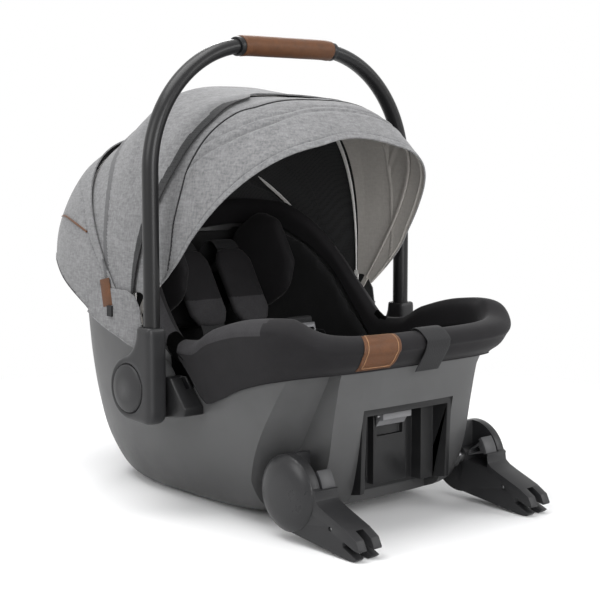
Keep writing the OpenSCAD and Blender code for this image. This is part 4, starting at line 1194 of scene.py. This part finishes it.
def build_label(mats):
    obj = solidify(new_object(surface(on_label, 60, 60), "rim_patch_leather"), size("patch_thickness"))
    finish(obj, "seat", mats["leather"], ["rim_label"], sharp=50)
    along = [0.1 + 0.8 * k / 12 for k in range(12)]
    ring = [(u, 0.1) for u in along] + [(0.9, v) for v in along]
    ring += [(1 - u, 1 - v) for u, v in ring]
    stitch = tube([on_label(u, v) for u, v in ring], size("stitch_radius"), 6, closed=True)
    finish(new_object(stitch, "rim_patch_stitch"), "seat", mats["thread"])


# ---- stage ----

# Soft light from everywhere, which camera, glossy and transmitted rays see as white instead
SOFT_LIGHT = ((0.97, 0.98, 1, 1), 0.42)
# Lamp, place, aim, size in metres and power in watts
LIGHTS = [("top", (-0.5, 0.2, 2.3), (0, 0, 0.2), 1.8, 46), ("left", (-2.3, 0.3, 1.3), (0, 0, 0.25), 1.2, 18),
          ("front", (-0.9, -2.6, 0.9), (0, 0, 0.3), 1.4, 44), ("right", (1.6, -2.1, 1.3), (0, -0.1, 0.15), 1.2, 18),
          ("back", (1.6, 1.9, 1.6), (0, 0, 0.3), 1.0, 20)]
CAMERA_AT = (-1141.5, -1381.2, 434.5)
CAMERA_AZIMUTH = -41.32
CAMERA_DOWN = 6.27
# Distance from the object at which the floor starts to run out into plain white, and ends, in metres
FLOOR_FADE = (0.42, 0.95)


def place_on_stage(name, data, at):
    """Lamp or camera, which isn't part of the seat."""
    obj = bpy.data.objects.new(name, data)
    obj.location = at
    bpy.context.collection.objects.link(obj)
    return obj


def build_world(scene):
    """White surroundings to look at, and soft light from them on the seat."""
    world = bpy.data.worlds.new("world")
    scene.world = world
    world.use_nodes = True
    tree = world.node_tree
    tree.nodes.clear()
    path = add(tree, "ShaderNodeLightPath")
    soft = add(tree, "ShaderNodeBackground", {"Color": SOFT_LIGHT[0], "Strength": SOFT_LIGHT[1]})
    plain = add(tree, "ShaderNodeBackground", {"Color": (1, 1, 1, 1), "Strength": 1.0})
    seen = path.outputs["Is Camera Ray"]
    for ray in ("Is Glossy Ray", "Is Transmission Ray"):
        seen = math_node(tree, "MAXIMUM", seen, path.outputs[ray])
    mix = add(tree, "ShaderNodeMixShader", {0: seen, 1: soft.outputs[0], 2: plain.outputs[0]})
    add(tree, "ShaderNodeOutputWorld", {0: mix.outputs[0]})


def build_stage(mats):
    scene = bpy.context.scene
    scene.view_settings.view_transform = "Standard"
    floor = bmesh.new()
    bmesh.ops.create_grid(floor, x_segments=2, y_segments=2, size=size("floor_half") * MM)
    obj = new_object(floor, "floor")
    obj.data.materials.append(mats["floor"])
    build_world(scene)
    for name, at, aim, width, watts in LIGHTS:
        data = bpy.data.lights.new(name, "AREA")
        data.energy = watts
        data.size = width
        lamp = place_on_stage(name, data, at)
        lamp.rotation_euler = (Vector(aim) - Vector(at)).to_track_quat("-Z", "Y").to_euler()
    data = bpy.data.cameras.new("camera")
    data.lens = scene.car_seat_sizes.lens
    data.sensor_width = 36
    camera = place_on_stage("camera", data, Vector(CAMERA_AT) * MM)
    camera.rotation_euler = Euler((math.radians(90 - CAMERA_DOWN), 0, math.radians(CAMERA_AZIMUTH)))
    scene.camera = camera


def floor_material():
    """White floor that keeps the soft shadow near the object and runs out into plain white."""
    m, tree, skin, where = blank("floor_white", 0.9)
    cloud = add(tree, "ShaderNodeTexNoise", {"Vector": where, "Scale": 3, "Detail": 2}).outputs[0]
    tree.links.new(blend_colours(tree, cloud, (0.93, 0.93, 0.93), (0.95, 0.95, 0.95)), skin.inputs["Base Color"])
    far = add(tree, "ShaderNodeVectorMath", {0: where}, operation="LENGTH").outputs["Value"]
    glow = add(tree, "ShaderNodeEmission", {"Color": (1, 1, 1, 1), "Strength": 1.0}).outputs[0]
    mix = add(tree, "ShaderNodeMixShader", {0: spread(tree, far, *FLOOR_FADE), 1: skin.outputs[0], 2: glow})
    tree.links.new(mix.outputs[0], tree.nodes["Material Output"].inputs["Surface"])
    return m


# ---- finishes ----

# Plastics and their roughness
PLASTICS = {"hub": 0.42, "arm": 0.42, "cover": 0.3, "trim": 0.4, "lever": 0.38, "black": 0.38, "red": 0.35}
# Steels and their roughness
STEELS = {"steel": ("steel", 0.32), "tongue": ("tongue_steel", 0.4)}
# Cloths woven of a light and a dark yarn, and knitted cloths
WOVEN = {"melange": "melange_fabric", "band": "hoop_band", "lining": "canopy_lining", "tape": "casing_tape"}
KNITTED = {"binding": "binding_tape", "jersey": "jersey", "liner": "liner_fabric", "insert": "insert_fabric",
           "thread": "thread"}
# Painted shade on the shell plastic: heights in metres between which its colour is darkened towards the floor, and
# the share of its colour left
SHELL_PAINTED_SHADE = (0.02, 0.13, 0.55)


def make_finishes():
    """Materials of all pieces, in the colours of the panel."""
    group = bpy.context.scene.car_seat_colours
    c = {key: tuple(round(v, 6) for v in getattr(group, key)) for key in CarSeatColours.__annotations__}
    mats = {"shell": plastic("shell_plastic", c["shell"], 0.42, shade=SHELL_PAINTED_SHADE)}
    for key, rough in PLASTICS.items():
        mats[key] = plastic(key + "_plastic", c[key], rough)
    for key, (name, rough) in STEELS.items():
        mats[key] = metal(name, c[key], rough)
    for key, name in WOVEN.items():
        mats[key] = melange(name, c[key], c[key + "_dark"])
    for key, name in KNITTED.items():
        mats[key] = jersey(name, c[key])
    # Painted shade: near black, without sheen and nearly without gloss, for the places beside the handle's hubs where
    # shade falls
    mats["gap"] = jersey("painted_shade_fabric", c["gap"], Sheen_Weight=0.0, Specular_IOR_Level=0.03)
    mats["tube"] = paint("tube_paint", c["tube"])
    mats["leather"] = leather("tan_leather", c["leather"])
    mats["mesh"] = mesh_cloth("gusset_mesh", c["mesh"])
    mats["webbing"] = webbing("webbing", c["webbing"])
    mats["floor"] = floor_material()
    return mats


MATS = {}


def finishes():
    """The materials, made for the first piece and shared by the rest."""
    if not MATS:
        MATS.update(make_finishes())
    return MATS


# ---- add-on ----


class CARSEAT_OT_shell(bpy.types.Operator):
    """Thin moulded shell, with the channels and axle bosses of the anchor arms"""

    bl_idname = "carseat.shell"
    bl_label = "Shell"

    def execute(self, context):
        build_shell(finishes())
        return {"FINISHED"}


class CARSEAT_OT_fittings(bpy.types.Operator):
    """Bucket, foot end panel, axles, mounts, clips, buckle and adjuster"""

    bl_idname = "carseat.fittings"
    bl_label = "Seat fittings"

    def execute(self, context):
        build_moulded(finishes(), ["seat"])
        return {"FINISHED"}


class CARSEAT_OT_release_lever(bpy.types.Operator):
    """Pull lever in the foot end recess"""

    bl_idname = "carseat.release_lever"
    bl_label = "Release lever"

    def execute(self, context):
        build_moulded(finishes(), ["release_lever"])
        return {"FINISHED"}


class CARSEAT_OT_anchor_arms(bpy.types.Operator):
    """Anchor arms with their covers, unlock levers and latches"""

    bl_idname = "carseat.anchor_arms"
    bl_label = "Anchor arms"

    def execute(self, context):
        build_moulded(finishes(), ["isofix", "unlock", "latch"])
        return {"FINISHED"}


class CARSEAT_OT_handle(bpy.types.Operator):
    """Carry handle with its arms, grip ends and buttons"""

    bl_idname = "carseat.handle"
    bl_label = "Handle"

    def execute(self, context):
        build_moulded(finishes(), ["handle", "handle_button"])
        return {"FINISHED"}


class CARSEAT_OT_buttons(bpy.types.Operator):
    """Buttons of the buckle and of the adjuster"""

    bl_idname = "carseat.buttons"
    bl_label = "Harness buttons"

    def execute(self, context):
        build_moulded(finishes(), ["buckle_button", "adjuster_button"])
        return {"FINISHED"}


class CARSEAT_OT_harness(bpy.types.Operator):
    """Shoulder, lap and crotch straps"""

    bl_idname = "carseat.harness"
    bl_label = "Harness"

    def execute(self, context):
        build_harness(finishes())
        return {"FINISHED"}


class CARSEAT_OT_adjuster_strap(bpy.types.Operator):
    """Strap that pulls the harness tight and hangs over the foot end"""

    bl_idname = "carseat.adjuster_strap"
    bl_label = "Adjuster strap"

    def execute(self, context):
        build_adjuster_strap(finishes())
        return {"FINISHED"}


class CARSEAT_OT_pads(bpy.types.Operator):
    """Liner, insert, head support and pads of the harness"""

    bl_idname = "carseat.pads"
    bl_label = "Pads"

    def execute(self, context):
        build_pads(finishes())
        return {"FINISHED"}


class CARSEAT_OT_cover(bpy.types.Operator):
    """Padded jersey cover of the rim"""

    bl_idname = "carseat.cover"
    bl_label = "Rim cover"

    def execute(self, context):
        build_cover(finishes())
        return {"FINISHED"}


class CARSEAT_OT_shade_sheets(bpy.types.Operator):
    """Painted shade: near black sheets beside the arms of the handle"""

    bl_idname = "carseat.recesses"
    bl_label = "Side recesses"

    def execute(self, context):
        build_shade_sheets(finishes())
        return {"FINISHED"}


class CARSEAT_OT_visor(bpy.types.Operator):
    """Front panel of the canopy and its zip"""

    bl_idname = "carseat.visor"
    bl_label = "Visor"

    def execute(self, context):
        build_visor(finishes())
        return {"FINISHED"}


class CARSEAT_OT_middle_panel(bpy.types.Operator):
    """Middle panel of the canopy with its mesh gusset"""

    bl_idname = "carseat.middle_panel"
    bl_label = "Middle panel"

    def execute(self, context):
        build_middle_panel(finishes())
        return {"FINISHED"}


class CARSEAT_OT_rear_panel(bpy.types.Operator):
    """Rear panel of the canopy with its flanks"""

    bl_idname = "carseat.rear_panel"
    bl_label = "Rear panel"

    def execute(self, context):
        build_rear_panel(finishes())
        return {"FINISHED"}


class CARSEAT_OT_bows(bpy.types.Operator):
    """The canopy's three bows in their casings"""

    bl_idname = "carseat.bows"
    bl_label = "Bows"

    def execute(self, context):
        build_bows(finishes())
        return {"FINISHED"}


class CARSEAT_OT_piping(bpy.types.Operator):
    """Piping of the rear panel and of its flanks"""

    bl_idname = "carseat.piping"
    bl_label = "Piping"

    def execute(self, context):
        build_piping(finishes())
        return {"FINISHED"}


class CARSEAT_OT_grip(bpy.types.Operator):
    """Leather grip of the handle"""

    bl_idname = "carseat.grip"
    bl_label = "Grip"

    def execute(self, context):
        build_grip(finishes())
        return {"FINISHED"}


class CARSEAT_OT_tag(bpy.types.Operator):
    """Leather tag on the canopy and the loop that holds it"""

    bl_idname = "carseat.tag"
    bl_label = "Canopy tag"

    def execute(self, context):
        build_tag(finishes())
        return {"FINISHED"}


class CARSEAT_OT_label(bpy.types.Operator):
    """Leather label on the rim and its stitching"""

    bl_idname = "carseat.label"
    bl_label = "Rim label"

    def execute(self, context):
        build_label(finishes())
        return {"FINISHED"}


class CARSEAT_OT_stage(bpy.types.Operator):
    """Floor, light and camera"""

    bl_idname = "carseat.stage"
    bl_label = "Stage"

    def execute(self, context):
        build_stage(finishes())
        return {"FINISHED"}


PIECES = [CARSEAT_OT_shell, CARSEAT_OT_fittings, CARSEAT_OT_release_lever, CARSEAT_OT_anchor_arms, CARSEAT_OT_handle,
          CARSEAT_OT_buttons, CARSEAT_OT_harness, CARSEAT_OT_adjuster_strap, CARSEAT_OT_pads, CARSEAT_OT_cover,
          CARSEAT_OT_shade_sheets, CARSEAT_OT_visor, CARSEAT_OT_middle_panel, CARSEAT_OT_rear_panel, CARSEAT_OT_bows,
          CARSEAT_OT_piping, CARSEAT_OT_grip, CARSEAT_OT_tag, CARSEAT_OT_label, CARSEAT_OT_stage]


class CARSEAT_PT_sidebar(bpy.types.Panel):
    """Sizes, colours and pieces of the car seat"""

    bl_idname = "CARSEAT_PT_sidebar"
    bl_label = "Infant Car Seat"
    bl_space_type = "VIEW_3D"
    bl_region_type = "UI"
    bl_category = "Car Seat"

    def draw(self, context):
        for title, group in (("Sizes", context.scene.car_seat_sizes), ("Colours", context.scene.car_seat_colours)):
            part = self.layout.box()
            part.label(text=title)
            for key in type(group).__annotations__:
                part.prop(group, key)
        part = self.layout.box()
        part.label(text="Pieces")
        for piece in PIECES:
            part.operator(piece.bl_idname)


CLASSES = [CarSeatSizes, CarSeatColours, *PIECES, CARSEAT_PT_sidebar]


def register():
    for c in CLASSES:
        bpy.utils.register_class(c)
    bpy.types.Scene.car_seat_sizes = PointerProperty(type=CarSeatSizes)
    bpy.types.Scene.car_seat_colours = PointerProperty(type=CarSeatColours)


def unregister():
    del bpy.types.Scene.car_seat_colours
    del bpy.types.Scene.car_seat_sizes
    for c in reversed(CLASSES):
        bpy.utils.unregister_class(c)


def main():
    register()
    for piece in PIECES:
        getattr(bpy.ops.carseat, piece.bl_idname.split(".")[1])()


if __name__ == "__main__":
    main()
